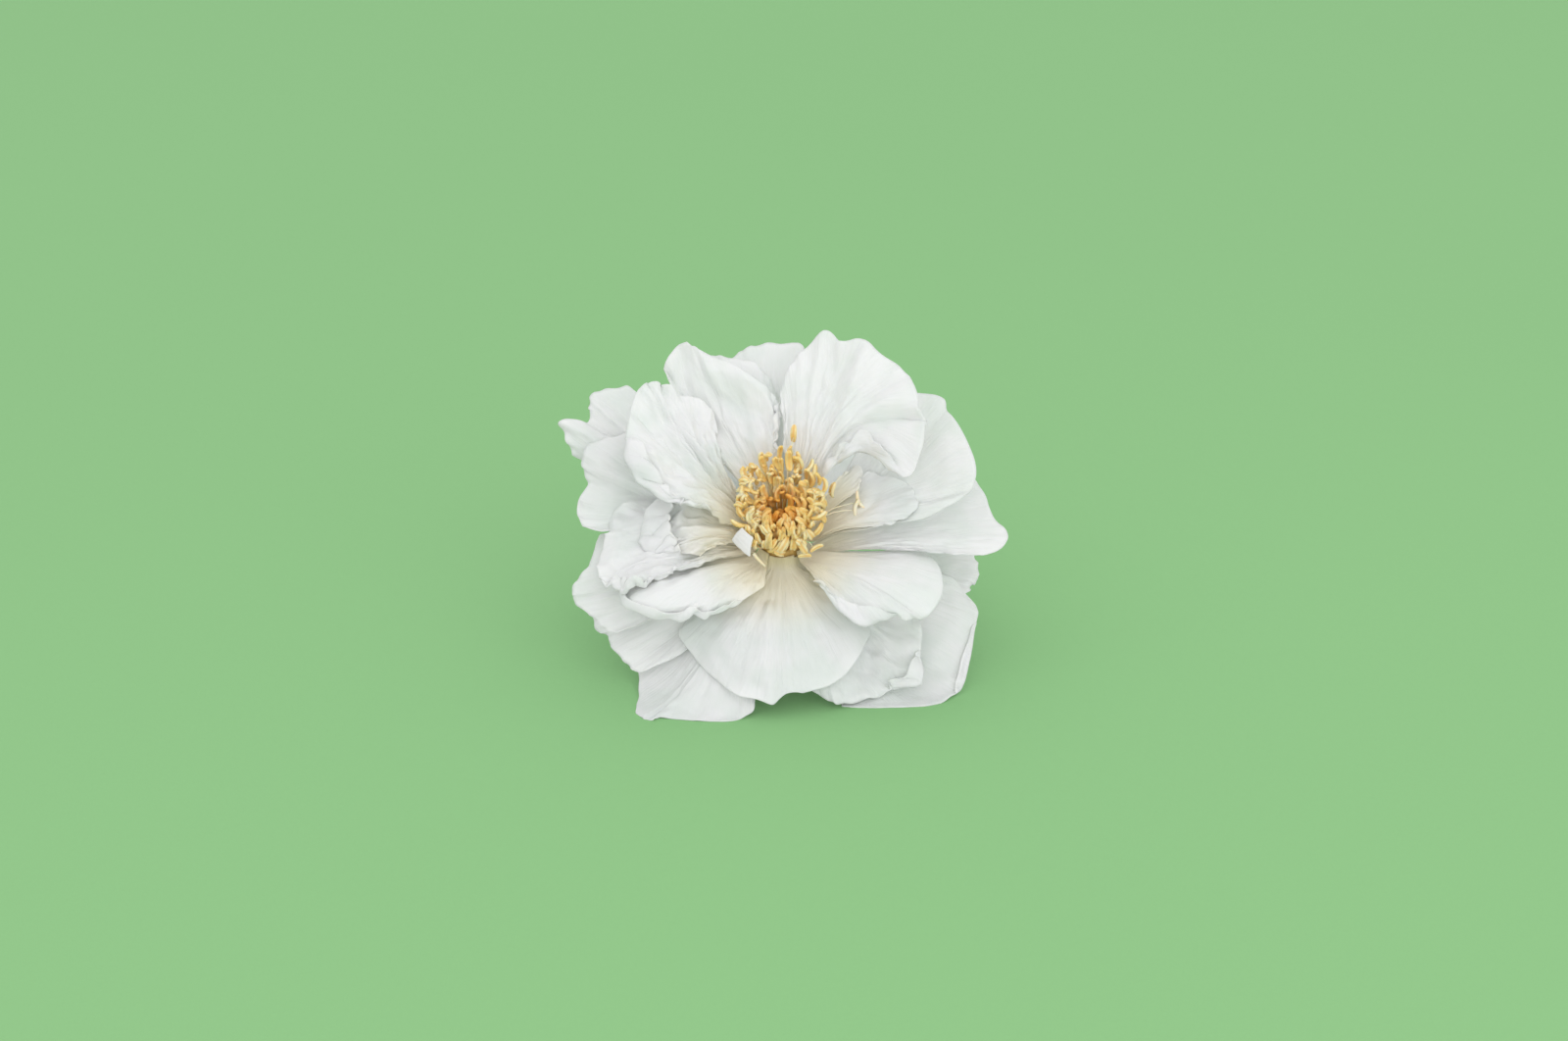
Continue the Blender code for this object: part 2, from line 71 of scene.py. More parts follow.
axisTilt = math.radians(flower["lean"])
rings = [(h * 0.001, r * 0.001) for r, h in hipShape["profile"]]
ringY = [-h * math.sin(axisTilt) + s * r * math.cos(axisTilt) for h, r in rings for s in (-1, 1)]
ringZ = [h * math.cos(axisTilt) + s * r * math.sin(axisTilt) for h, r in rings for s in (-1, 1)]
low, high = (Vector(corner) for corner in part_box("hip"))
middle = (low + high) / 2
flowerBase = Vector((middle.x, middle.y - (min(ringY) + max(ringY)) / 2,
                     middle.z - (min(ringZ) + max(ringZ)) / 2))
toWorld = Matrix.Translation(flowerBase) @ Matrix.Rotation(axisTilt, 4, "X") @ Matrix.Scale(0.001, 4)
floorHeight = Vector(cadBox[0]).z
baseHeight = (flowerBase.z - floorHeight) * 1000
print("frame: base", [round(v, 4) for v in flowerBase], "floor", round(floorHeight, 4))


# finishes: a Signal is an output socket, and sums and products of signals make math nodes
class Signal:
    def __init__(self, finish, socket):
        self.finish = finish
        self.socket = socket

    def maths(self, operation, other):
        return self.finish.node("ShaderNodeMath", dict(operation=operation), {0: self, 1: other})

    def __add__(self, other):
        return self.maths("ADD", other)

    def __mul__(self, other):
        return self.maths("MULTIPLY", other)

    def __pow__(self, other):
        return self.maths("POWER", other)


class Finish:
    def __init__(self, name, **constants):
        self.material = bpy.data.materials.new(name)
        self.material.use_nodes = True
        self.tree = self.material.node_tree
        self.shader = self.tree.nodes["Principled BSDF"]
        for socket, value in constants.items():
            self.shader.inputs[socket.replace("_", " ")].default_value = value

    def node(self, kind, settings, sockets, output=0):
        made = self.tree.nodes.new(kind)
        for key, value in settings.items():
            setattr(made, key, value)
        for key, value in sockets.items():
            if isinstance(value, Signal):
                self.tree.links.new(value.socket, made.inputs[key])
            else:
                made.inputs[key].default_value = value
        return Signal(self, made.outputs[output])

    def coordinates(self, source="Object"):
        return self.node("ShaderNodeTexCoord", {}, {}, source)

    def noise(self, vector, scale, detail, roughness=0.5):
        return self.node("ShaderNodeTexNoise", {}, {"Vector": vector, "Scale": scale,
                                                    "Detail": detail, "Roughness": roughness})

    def range(self, value, low, high, start=0.0, end=1.0):
        return self.node("ShaderNodeMapRange", dict(interpolation_type="SMOOTHSTEP"),
                         {0: value, 1: low, 2: high, 3: start, 4: end})

    def mix(self, factor, first, second):
        # a colour is a signal or three shares
        first, second = (tone if isinstance(tone, Signal) else (*tone, 1) for tone in (first, second))
        return self.node("ShaderNodeMix", dict(data_type="RGBA"), {0: factor, 6: first, 7: second}, 2)

    def split(self, vector):
        made = self.tree.nodes.new("ShaderNodeSeparateXYZ")
        self.tree.links.new(vector.socket, made.inputs[0])
        return [Signal(self, out) for out in made.outputs]

    def join(self, x, y, z):
        return self.node("ShaderNodeCombineXYZ", {}, {0: x, 1: y, 2: z})

    def bump(self, height, distance, strength):
        return self.node("ShaderNodeBump", {}, {"Strength": strength, "Distance": distance,
                                                "Height": height})

    def feed(self, socket, signal):
        self.tree.links.new(signal.socket, self.shader.inputs[socket])

    def flowerCoordinates(self):
        # metres about the flower's own axis
        back = self.node("ShaderNodeVectorMath", dict(operation="SUBTRACT"),
                         {0: self.coordinates(), 1: tuple(flowerBase)})
        return self.node("ShaderNodeVectorRotate", dict(rotation_type="X_AXIS"),
                         {"Vector": back, "Angle": -axisTilt})

    def patches(self, place, look):
        # two close colours in soft patches over a fine grain
        patch = self.noise(place, look["scale"], 3.0)
        grain = self.noise(place, look["scale"] * 4, 3.0, 0.6)
        self.feed("Normal", self.bump(grain, look["relief"], 0.8))
        rough = look["roughness"]
        self.feed("Roughness", self.range(patch, 0.3, 0.7, rough - 0.08, rough + 0.08))
        return self.mix(self.range(patch, 0.35, 0.65), *look["colours"])


# the veins, folds, cream and the olive, which is partly the claw's own colour and partly painted shade
# under the stamens, lie on the petal's own map, in cm from its claw
petalLook = dict(white=(0.89, 0.895, 0.89), cool=(0.80, 0.85, 0.81), cream=(0.88, 0.81, 0.60),
                 oliveAndShade=(0.78, 0.68, 0.36), roughness=0.55, subsurface=0.3, scatter=(1.0, 1.0, 0.85),
                 glow=0.0009, sheen=0.12, sheenRoughness=0.4, specular=0.35, vein=0.00026,
                 veinScale=(26.0, 1.1), foldScale=(6.0, 0.8), grainScale=5200.0, blotchScale=130.0,
                 creamReach=(0.6, 1.65, 0.9, 0.0), oliveAndShadeReach=(0.0, 0.42, 0.75, 0.0))


def petalFinish():
    look = petalLook
    f = Finish("petalWhite", Roughness=look["roughness"], Subsurface_Weight=look["subsurface"],
               Subsurface_Radius=look["scatter"], Subsurface_Scale=look["glow"],
               Sheen_Weight=look["sheen"], Sheen_Roughness=look["sheenRoughness"],
               Specular_IOR_Level=look["specular"])
    across, along, _ = f.split(f.coordinates("UV"))
    wander = f.noise(f.join(across * 0.8, along * 0.9, 0.0), 1.0, 1.0)
    veinX, veinY = look["veinScale"]
    fine = f.noise(f.join((across + wander * 0.3) * veinX, along * veinY, 0.4), 1.0, 2.0, 0.65)
    foldX, foldY = look["foldScale"]
    broad = f.noise(f.join((across + wander * 0.5) * foldX, along * foldY, 2.4), 1.0, 2.0, 0.6)
    grain = f.noise(f.coordinates(), look["grainScale"], 1.0)
    blotch = f.noise(f.coordinates(), look["blotchScale"], 2.0)
    white = f.mix(f.range(blotch, 0.35, 0.7), look["white"], look["cool"])
    veined = f.mix(f.range(fine, 0.5, 0.72, 0.0, 0.35), white, look["cool"])
    creamed = f.mix(f.range(along, *look["creamReach"]), veined, look["cream"])
    # the claw turns olive: partly its own colour, partly painted shade where it lies under the stamens
    f.feed("Base Color", f.mix(f.range(along, *look["oliveAndShadeReach"]), creamed, look["oliveAndShade"]))
    relief = fine * 0.55 + broad * 0.8 + grain * 0.06
    f.feed("Normal", f.bump(relief, look["vein"], 0.9))
    f.feed("Roughness", f.range(broad, 0.3, 0.7, look["roughness"] - 0.07, look["roughness"] + 0.08))
    return f.material


# groove: the colour of the painted shade down each anther's groove
antherLook = dict(gold=(0.94, 0.68, 0.26), pale=(0.97, 0.84, 0.50), deep=(0.86, 0.42, 0.06),
                  groove=(0.88, 0.54, 0.14), roughness=0.55, subsurface=0.35, scatter=(1.0, 0.7, 0.35),
                  glow=0.0006, spotScale=420.0, grainScale=3600.0, relief=0.0001,
                  deepReach=(0.0026, 0.0056, 0.9, 0.0))


def antherFinish():
    # spotted gold, with painted shade darkening the groove, and darker towards the middle of the tuft
    look = antherLook
    f = Finish("antherGold", Roughness=look["roughness"], Subsurface_Weight=look["subsurface"],
               Subsurface_Scale=look["glow"], Subsurface_Radius=look["scatter"])
    place = f.flowerCoordinates()
    x, y, z = f.split(place)
    radius = (x * x + y * y) ** 0.5
    spots = f.noise(place, look["spotScale"], 2.0)
    gold = f.mix(f.range(spots, 0.42, 0.62), look["gold"], look["pale"])
    fromGroove, _, _ = f.split(f.coordinates("UV"))
    # painted shade: the groove between the two lobes is darkened, so the rims stand out lighter
    grooveShaded = f.mix(f.range(fromGroove, 0.1, 0.6, 0.75, 0.0), gold, look["groove"])
    inner = f.range(radius + z * 0.12, *look["deepReach"])
    f.feed("Base Color", f.mix(inner, grooveShaded, look["deep"]))
    f.feed("Normal", f.bump(f.noise(place, look["grainScale"], 2.0), look["relief"], 0.8))
    return f.material


def plainFinish(name, look):
    f = Finish(name, Roughness=look["roughness"])
    f.feed("Base Color", f.patches(f.coordinates(), look))
    return f.material


filamentLook = dict(colours=((0.88, 0.78, 0.50), (0.92, 0.87, 0.68)), golden=(0.90, 0.56, 0.14),
                    goldenReach=(0.0035, 0.0062, 0.95, 0.0), scale=400.0, roughness=0.5,
                    relief=0.00003, subsurface=0.2, glow=0.0004)


def filamentFinish():
    # cream outside, golden towards the middle of the tuft
    look = filamentLook
    f = Finish("filamentPale", Roughness=look["roughness"], Subsurface_Weight=look["subsurface"],
               Subsurface_Scale=look["glow"])
    place = f.flowerCoordinates()
    x, y, _ = f.split(place)
    inner = f.range((x * x + y * y) ** 0.5, *look["goldenReach"])
    f.feed("Base Color", f.mix(inner, f.patches(place, look), look["golden"]))
    return f.material


stemLook = dict(green=(0.30, 0.34, 0.13), brown=(0.42, 0.36, 0.18), dark=(0.20, 0.17, 0.08),
                roughness=0.6, fibreScale=(2600.0, 220.0), toneScale=(300.0, 120.0), relief=0.00018)


def stemFinish():
    # fibres along the stem
    look = stemLook
    f = Finish("stemBark", Roughness=look["roughness"])
    x, y, z = f.split(f.flowerCoordinates())
    across, along = look["fibreScale"]
    fibre = f.noise(f.join(x * across, y * across, z * along), 1.0, 3.0, 0.6)
    across, along = look["toneScale"]
    tone = f.noise(f.join(x * across, y * across, z * along), 1.0, 2.0)
    green = f.mix(f.range(tone, 0.35, 0.65), look["green"], look["brown"])
    f.feed("Base Color", f.mix(f.range(fibre, 0.35, 0.75, 0.0, 0.6), green, look["dark"]))
    f.feed("Normal", f.bump(fibre, look["relief"], 0.9))
    return f.material


# the golden brown on top is partly the disc's colour and partly painted shade where the stamens shade the
# hip's rim
hipLook = dict(colours=((0.30, 0.36, 0.15), (0.42, 0.42, 0.22)), disc=(0.62, 0.40, 0.12),
               discAndShadeStart=(-0.004, -0.0015), scale=260.0, roughness=0.5, relief=0.0001)


def hipFinish():
    # green below, golden brown on the disc that carries the stamens: partly the disc's own colour, partly
    # painted shade under the stamens
    look = hipLook
    f = Finish("hipGreen", Roughness=look["roughness"])
    place = f.flowerCoordinates()
    _, _, z = f.split(place)
    f.feed("Base Color", f.mix(f.range(z, *look["discAndShadeStart"]), f.patches(place, look), look["disc"]))
    return f.material


petalWhite = petalFinish()
antherGold = antherFinish()
filamentPale = filamentFinish()
styleLook = dict(colours=((0.60, 0.24, 0.03), (0.74, 0.36, 0.07)), scale=900.0, roughness=0.6,
                 relief=0.00006)
styleOrange = plainFinish("styleOrange", styleLook)
sepalLook = dict(colours=((0.27, 0.33, 0.13), (0.38, 0.38, 0.20)), scale=320.0, roughness=0.65,
                 relief=0.00012)
sepalGreen = plainFinish("sepalGreen", sepalLook)
hipGreen = hipFinish()
stemBark = stemFinish()
print("finishes ready")


# petals: the same ribs and layers as the solids, then the finer forms
# margin: azimuth and rib length round the edge, as the solids have it; edge: the finer outline
# most points of margin and edge were worked out by a fitting script, rounded, and pasted in
# level: height of the claw; lean: of the rib at claw, middle and margin, in degrees
# side and cup: degrees that the lean changes from side to side, and towards both sides; 0 if left out
# middle: azimuth the petal narrows to; claw: share of its width at the claw; ruffle: wave height
# places on a petal: place 0 to 1 across from its first side, along 0 to 1 from claw to margin
# curl: from, to, width, turn in degrees (+ inwards)
# crease: from place, along to place, along, half width, height
# lip, a side's own curl: side, start, width, turn, wave height, waves
# hem, a strip folded over: edge, from, to, width, rise, waves
# frill: from, to, height, waves, depth of the frilled band
petals = dict(
    upperRight=dict(
        level=0.3, lean=(34, 46, 66), middle=68, claw=0.3, ruffle=0.7, spread=(4.0, 0.5),
        margin=[(-6, 21.5), (1, 24), (15, 27), (24, 28), (32, 29.5), (40, 30), (52, 29), (58, 33),
                (69, 29.5), (73, 32), (79, 27.5), (85, 24), (88, 21.5), (88.5, 19)],
        edge=[(-7, 21.5), (0, 24), (13.5, 27), (19, 27.5), (33, 29.5), (42.5, 30.5), (50.5, 30.5),
              (58, 31.5), (66.5, 30), (73, 31.5), (80, 28.5), (84.5, 25), (88.5, 21.5), (89, 18)],
        curl=[(0.3, 0.5, 1.2, -20), (0.8, 1.0, 2.0, -24)],
        crease=[(0.53, 0.98, 0.37, 0.66, 1.4, 1.6), (0.62, 0.88, 0.5, 0.7, 2.4, -1.6),
                (0.88, 0.82, 0.5, 0.68, 1.4, -0.7), (0.28, 0.95, 0.2, 0.6, 1.0, 0.5),
                (0.2, 0.92, 0.16, 0.8, 1.6, -1.5), (0.7, 1.0, 0.72, 0.75, 0.9, 0.6),
                (0.43, 0.95, 0.33, 0.7, 0.7, 0.5), (0.35, 0.98, 0.27, 0.7, 0.7, -0.5)],
        lip=[(0, 0.5, 2.0, 24, 0.7, 3), (1, 0.5, 1.6, -30, 0.25, 3)],
        hem=[("first", 0.46, 1.0, 2.9, 0.65, 4)],
        frill=[(0.0, 0.3, 0.8, 9, 5.0), (0.3, 0.8, 0.3, 13, 3.5)], crumple=0.45),
    smallRight=dict(
        level=-0.4, lean=(50, 62, 74), cup=-10, middle=30,
        claw=0.6, ruffle=0.1, margin=[(23, 9), (25, 11), (31, 12.5), (37, 13.5), (41, 12), (42, 10)],
        curl=[(0.2, 0.9, 1.2, 33)], frill=[(0.0, 1.0, 0.2, 5, 3.0)], crumple=0.1),
    rightInner=dict(
        level=-1.3, lean=(50, 68, 90), cup=-12, middle=14, claw=0.5, ruffle=0.3,
        margin=[(-5, 10), (-4, 14), (-2, 17.5), (4, 19), (14, 19), (25, 16.5), (35, 14.5)],
        curl=[(0.1, 0.6, 1.4, -24)],
        crease=[(0.75, 0.8, 0.55, 0.55, 0.8, -0.5), (0.35, 0.9, 0.35, 0.3, 1.2, 0.3)],
        frill=[(0.1, 1.0, 0.3, 6, 3.0)], crumple=0.15),
    leftShoulder=dict(
        level=0.4, lean=(44, 58, 74), cup=-6, middle=160, claw=0.35, ruffle=0.6, spread=(1.6, 0.5),
        margin=[(119, 17), (120.5, 22), (126, 25), (131, 28), (135, 30), (141, 29.5), (148, 27.5),
                (160, 25.5), (173, 24.5), (179, 21), (181, 17)],
        edge=[(121, 13.5), (116, 18.5), (120.5, 23), (128, 26), (133.5, 29), (138.5, 30), (147, 28),
              (160, 26), (171, 24), (180, 19), (182, 13.5)],
        curl=[(0.35, 0.6, 2.0, 34), (0.66, 1.0, 1.6, -30)],
        crease=[(0.84, 1.0, 0.72, 0.84, 0.8, 1.0), (0.72, 0.84, 0.8, 0.74, 0.7, 0.9),
                (0.8, 0.74, 0.92, 0.72, 0.7, -0.7), (0.58, 0.94, 0.58, 0.86, 0.7, -1.2),
                (0.52, 1.0, 0.5, 0.8, 0.8, 0.7), (0.44, 0.85, 0.6, 0.7, 0.8, -0.6),
                (0.36, 0.98, 0.42, 0.6, 1.0, -0.7), (0.25, 1.0, 0.35, 0.5, 0.9, 0.7),
                (0.6, 0.7, 0.75, 0.5, 0.7, 0.5), (0.68, 0.95, 0.6, 0.8, 0.5, 0.5),
                (0.9, 0.9, 0.84, 0.55, 0.8, 0.5)],
        lip=[(0, 0.3, 1.6, -36, 0.2, 3), (1, 0.5, 1.4, 30, 0.5, 4)],
        hem=[("margin", 0.68, 0.99, 4.4, 0.6, 0.4)],
        frill=[(0.1, 0.95, 0.55, 9, 4.0)], crumple=1.0),
    leftInner=dict(
        level=-0.6, lean=(46, 80, 116), cup=-6, middle=178, claw=0.5, ruffle=0.3,
        margin=[(153, 11.5), (157, 15), (166, 18), (178, 19), (187, 19), (191, 16.5), (194, 13.5),
                (197, 10)],
        edge=[(154, 11), (158, 14.5), (166, 18), (177, 19.5), (186, 19.5), (192, 17), (195, 13.5),
              (200, 10)],
        curl=[(0.3, 1.0, 1.4, 12)],
        crease=[(0.2, 0.75, 0.7, 0.66, 0.6, 0.7), (0.36, 0.92, 0.66, 0.94, 0.7, 0.7),
                (0.2, 0.75, 0.36, 0.92, 0.6, 0.4), (0.45, 0.6, 0.5, 0.92, 0.8, -0.5),
                (0.85, 0.4, 0.8, 0.9, 0.8, 0.4)],
        lip=[(0, 0.4, 1.0, -30, 0.3, 3), (1, 0.3, 1.2, 24, 0.3, 4)],
        hem=[("margin", 0.2, 0.85, 5.5, 0.8, 1.0)],
        frill=[(0.2, 1.0, 0.45, 6, 3.0)], crumple=0.75),
    upperLeft=dict(
        level=-0.5, lean=(34, 48, 64), middle=110, claw=0.45, ruffle=0.6, fuller=(0.1, 0.6),
        margin=[(89, 19), (92, 21.5), (98, 23), (108, 27.5), (115, 31), (117, 33), (123, 32.5),
                (127, 31), (127, 27)],
        curl=[(0.5, 0.62, 1.2, -24), (0.76, 1.0, 1.6, 34)],
        crease=[(0.86, 1.0, 0.81, 0.86, 0.9, -1.1), (0.7, 0.95, 0.76, 0.75, 0.9, -1.1),
                (0.63, 1.0, 0.66, 0.7, 1.6, 0.7), (0.52, 0.75, 0.28, 0.78, 2.4, -1.15),
                (0.33, 0.98, 0.1, 0.85, 1.0, 0.5), (0.33, 0.5, 0.24, 0.7, 0.9, 0.5),
                (0.5, 0.98, 0.44, 0.6, 0.8, 0.5), (0.48, 0.92, 0.2, 0.97, 2.4, 0.7)],
        lip=[(0, 0.4, 2.0, 50, 0.3, 2), (1, 0.5, 1.4, -30, 0.4, 3)],
        hem=[("first", 0.5, 1.0, 1.8, 0.5, 1.5)],
        frill=[(0.4, 1.0, 0.35, 6, 4.0)], crumple=0.45),
    leftMiddle=dict(
        level=-1.5, lean=(60, 80, 112), cup=-6, middle=190, claw=0.5, ruffle=0.5,
        margin=[(162, 21.5), (167, 24.5), (177, 24), (184, 25.5), (193, 26.5), (199, 27),
                (204, 25), (209, 24), (211, 20.5)],
        edge=[(162.5, 21.5), (166.5, 24.5), (174.5, 25), (181, 25.5), (192, 26.5), (198, 26.5),
              (202, 25), (206, 24.5), (209, 22), (209, 18)],
        curl=[(0.1, 0.45, 1.6, -34), (0.62, 1.0, 2.4, -50)],
        crease=[(0.1, 0.98, 0.42, 0.86, 0.8, 0.7), (0.45, 0.9, 0.72, 0.98, 0.7, -0.9),
                (0.3, 0.9, 0.36, 0.6, 0.9, -0.5), (0.6, 0.95, 0.55, 0.6, 0.9, 0.6),
                (0.82, 0.9, 0.7, 0.6, 0.8, 0.5), (0.2, 0.85, 0.25, 0.5, 0.8, 0.4)],
        lip=[(1, 0.4, 1.4, -40, 0.3, 3)], hem=[("margin", 0.55, 0.9, 2.2, 0.6, 1.3)],
        frill=[(0.0, 1.0, 0.5, 8, 4.0)], crumple=0.75),
    leftLowerInner=dict(
        level=-1.7, lean=(74, 82, 112), middle=222, claw=0.55, ruffle=0.3,
        margin=[(193, 20.5), (199, 22.5), (210, 24.5), (219, 23), (228, 17.5), (237, 15),
                (244, 11), (253, 5.5)],
        edge=[(194, 20.5), (193.5, 23), (205, 25), (217.5, 23.5), (226.5, 18), (234, 15), (244.5, 10),
              (253, 5)],
        curl=[(0.1, 0.8, 3.0, -70)],
        crease=[(0.35, 0.9, 0.35, 0.3, 2.0, 0.5), (0.55, 0.86, 0.52, 0.94, 0.5, -0.5),
                (0.15, 0.95, 0.25, 0.6, 1.0, -0.4)],
        lip=[(0, 0.5, 1.6, 34, 0.4, 3)], hem=[("margin", 0.18, 0.86, 2.0, 0.45, 1.2)],
        frill=[(0.0, 0.7, 0.35, 6, 3.5)], crumple=0.25),
    rightBack=dict(
        level=-2.1, lean=(50, 64, 78), cup=-12, middle=24, claw=0.45, ruffle=0.3,
        margin=[(-2, 10), (-2, 14), (-2, 20), (4, 27), (7, 29.5), (19, 31), (31, 31.5), (36, 32),
                (43, 29.5), (49, 27)],
        curl=[(0.3, 0.6, 1.4, -20)],
        crease=[(0.5, 0.85, 0.5, 0.5, 3.0, 0.7), (0.75, 0.8, 0.62, 0.4, 2.0, -0.5),
                (0.3, 0.95, 0.35, 0.5, 0.8, 0.25)],
        frill=[(0.4, 1.0, 0.25, 5, 4.0)], crumple=0.3),
    rightPointed=dict(
        level=-3.4, lean=(66, 84, 92), side=8, middle=358, claw=0.5, ruffle=0.2,
        margin=[(350, 18), (350, 24), (351, 29), (355, 32.5), (365, 30.5), (381, 30),
                (388, 29), (394, 26)],
        edge=[(351, 16.5), (349, 23), (350, 29), (355.5, 32.5), (366.5, 30.5), (381, 30.5), (389, 29),
              (394, 26)],
        curl=[(0.0, 0.3, 1.3, -24)],
        crease=[(0.4, 0.95, 0.35, 0.4, 1.4, 0.35), (0.15, 0.95, 0.2, 0.4, 0.9, -0.25)],
        frill=[(0.0, 0.4, 0.2, 6, 3.0)], crumple=0.25),
    lowerRightFront=dict(
        level=-1.6, lean=(72, 82, 108), middle=322, claw=0.55, ruffle=0.3,
        margin=[(298, 12.5), (300, 16.5), (304, 19), (311, 21), (315, 23), (319, 25), (333, 24.5),
                (348, 21.5), (352, 16)],
        edge=[(297, 7), (297, 14), (302.5, 19), (312.5, 21), (318, 24), (321, 25), (334, 24.5),
              (351, 21), (358, 16.5)],
        curl=[(0.3, 0.62, 1.8, -80), (0.66, 1.0, 1.4, -24)],
        crease=[(0.3, 0.98, 0.24, 0.5, 1.6, -0.6), (0.5, 0.95, 0.5, 0.3, 2.0, 0.4),
                (0.7, 0.9, 0.6, 0.35, 1.2, 0.3)],
        lip=[(0, 0.5, 1.4, 30, 0.2, 3)], hem=[("margin", 0.0, 0.42, 3.4, 0.6, 0.8)],
        frill=[(0.1, 0.7, 0.35, 6, 3.5)], crumple=0.18),
    bottomCenter=dict(
        level=-2.7, lean=(86, 112, 144), middle=268, claw=0.55, ruffle=0.4,
        margin=[(211, 15), (214, 17.5), (223, 19), (244, 21.5), (253, 23), (265, 25), (271, 22),
                (279, 22), (291, 22.5), (310, 18), (319, 15.5), (327, 11)],
        edge=[(214, 11), (212.5, 17), (222, 19), (242.5, 21.5), (253.5, 23), (264.5, 23.5),
              (271.5, 22), (280, 22), (291, 21.5), (309, 17.5), (321, 15.5), (329.5, 10.5)],
        curl=[(0.1, 0.3, 1.2, -24), (0.3, 0.78, 3.0, 26)],
        crease=[(0.38, 0.38, 0.46, 0.96, 0.7, 0.45), (0.33, 0.36, 0.42, 0.34, 1.2, -0.8),
                (0.66, 0.7, 0.74, 0.66, 2.2, -0.5), (0.25, 0.98, 0.3, 0.5, 0.9, 0.4),
                (0.58, 0.98, 0.53, 0.6, 0.9, -0.4), (0.85, 0.9, 0.72, 0.5, 0.9, 0.3)],
        lip=[(0, 0.5, 1.4, 30, 0.2, 3)],
        frill=[(0.3, 0.95, 0.3, 7, 4.0)], crumple=0.3),
    upperLeftBack=dict(
        level=-1.2, lean=(40, 56, 68), middle=102, claw=0.45, ruffle=0.3,
        margin=[(90, 18.5), (91, 23), (94, 25.5), (98, 27.5), (106, 29), (112, 30), (116, 29.5)],
        curl=[(0.0, 0.6, 1.4, -28)], frill=[(0.3, 1.0, 0.3, 5, 4.0)], crumple=0.2),
    leftUpperOuter=dict(
        level=-2.3, lean=(56, 72, 88), cup=-6, middle=160, claw=0.45, ruffle=0.5,
        margin=[(136, 25.5), (145, 29), (151, 32), (155, 32), (158, 31.5), (158, 30.5), (164, 31),
                (170, 30), (173, 27.5), (173, 23.5)],
        curl=[(0.1, 0.5, 1.4, -28), (0.65, 1.0, 1.5, 32)],
        crease=[(0.35, 0.98, 0.4, 0.6, 0.9, 0.6), (0.6, 0.95, 0.55, 0.6, 0.9, -0.6),
                (0.8, 0.9, 0.7, 0.6, 0.8, 0.4)],
        frill=[(0.1, 0.9, 0.45, 8, 3.5)], crumple=0.55),
    topBack=dict(
        level=-1.9, lean=(46, 64, 74), middle=92, claw=0.45, ruffle=0.4,
        margin=[(78, 27.5), (81, 31), (85, 32.5), (93, 32.5), (100, 31.5), (104, 30.5),
                (109, 27.5)],
        curl=[(0.1, 0.9, 1.4, -28)], crease=[(0.35, 0.98, 0.4, 0.5, 1.2, 0.3)],
        frill=[(0.1, 0.9, 0.3, 5, 4.0)], crumple=0.2),
    leftOuter=dict(
        level=-2.5, lean=(76, 92, 106), middle=192, claw=0.5, ruffle=0.3,
        margin=[(169, 25.5), (184, 27.5), (190, 30), (195, 30.5), (200, 28.5), (205, 26.5)],
        edge=[(169, 25.5), (182.5, 27.5), (189, 30), (192.5, 30.5), (197, 28.5), (202.5, 26.5)],
        curl=[(0.1, 0.9, 1.2, -24)], crease=[(0.55, 0.95, 0.5, 0.5, 1.0, -0.3)],
        frill=[(0.1, 0.9, 0.3, 6, 4.0)], crumple=0.25),
    leftLowerOuter=dict(
        level=-3.4, lean=(84, 100, 122), middle=216, claw=0.5, ruffle=0.3,
        margin=[(194, 28), (197, 28.5), (199, 27.5), (204, 28), (210, 28), (215, 27.5),
                (219, 22.5), (223, 19), (227, 15.5)],
        edge=[(191, 28.5), (194, 29), (196, 28), (201, 28.5), (207, 28), (212, 27.5), (218, 22.5),
              (221.5, 18.5), (225, 15.5)],
        curl=[(0.1, 0.9, 1.1, -24)], crease=[(0.4, 0.95, 0.42, 0.5, 1.2, 0.35)],
        frill=[(0.1, 0.9, 0.28, 7, 3.5)], crumple=0.2),
    lowerRightUnder=dict(
        level=-3.4, lean=(90, 112, 126), side=-14, middle=308, claw=0.5, ruffle=0.4,
        margin=[(281, 20.5), (286, 23.5), (291, 24), (298, 26), (309, 26), (320, 27.5), (327, 24),
                (335, 21.5), (341, 18.5)],
        edge=[(280.5, 20), (285, 22.5), (290, 24), (298.5, 25), (308, 25.5), (316, 28), (325, 24),
              (333.5, 21), (339, 18)],
        curl=[(0.52, 0.74, 2.2, 50), (0.05, 0.4, 1.2, -24)],
        crease=[(0.56, 0.78, 0.66, 0.94, 0.9, 1.1), (0.5, 0.85, 0.58, 0.7, 1.0, -0.8),
                (0.75, 0.95, 0.68, 0.6, 0.9, 0.6), (0.85, 0.9, 0.8, 0.6, 0.9, -0.5)],
        hem=[("margin", 0.5, 0.76, 2.6, 0.8, 1)], frill=[(0.2, 0.9, 0.45, 8, 4.0)], crumple=0.5),
    leftTip=dict(
        level=-3.2, lean=(56, 70, 80), cup=-6, middle=150, claw=0.45, ruffle=0.4,
        margin=[(129, 32), (133, 37), (138, 39.5), (141, 38.5), (144, 37.5), (147.5, 40),
                (151, 37.5), (154, 34), (158, 30)],
        edge=[(127.5, 32), (132.5, 36.5), (139, 38.5), (142, 37), (145, 36), (148, 39.5), (150, 37),
              (150.5, 34.5), (152, 31.5)],
        curl=[(0.0, 0.4, 1.5, -34), (0.5, 0.62, 1.2, 30)],
        crease=[(0.45, 1.0, 0.47, 0.8, 1.4, -1.5), (0.62, 0.98, 0.62, 0.75, 0.8, 0.8),
                (0.3, 0.98, 0.34, 0.75, 0.9, 0.7), (0.2, 1.0, 0.24, 0.8, 0.8, -0.5)],
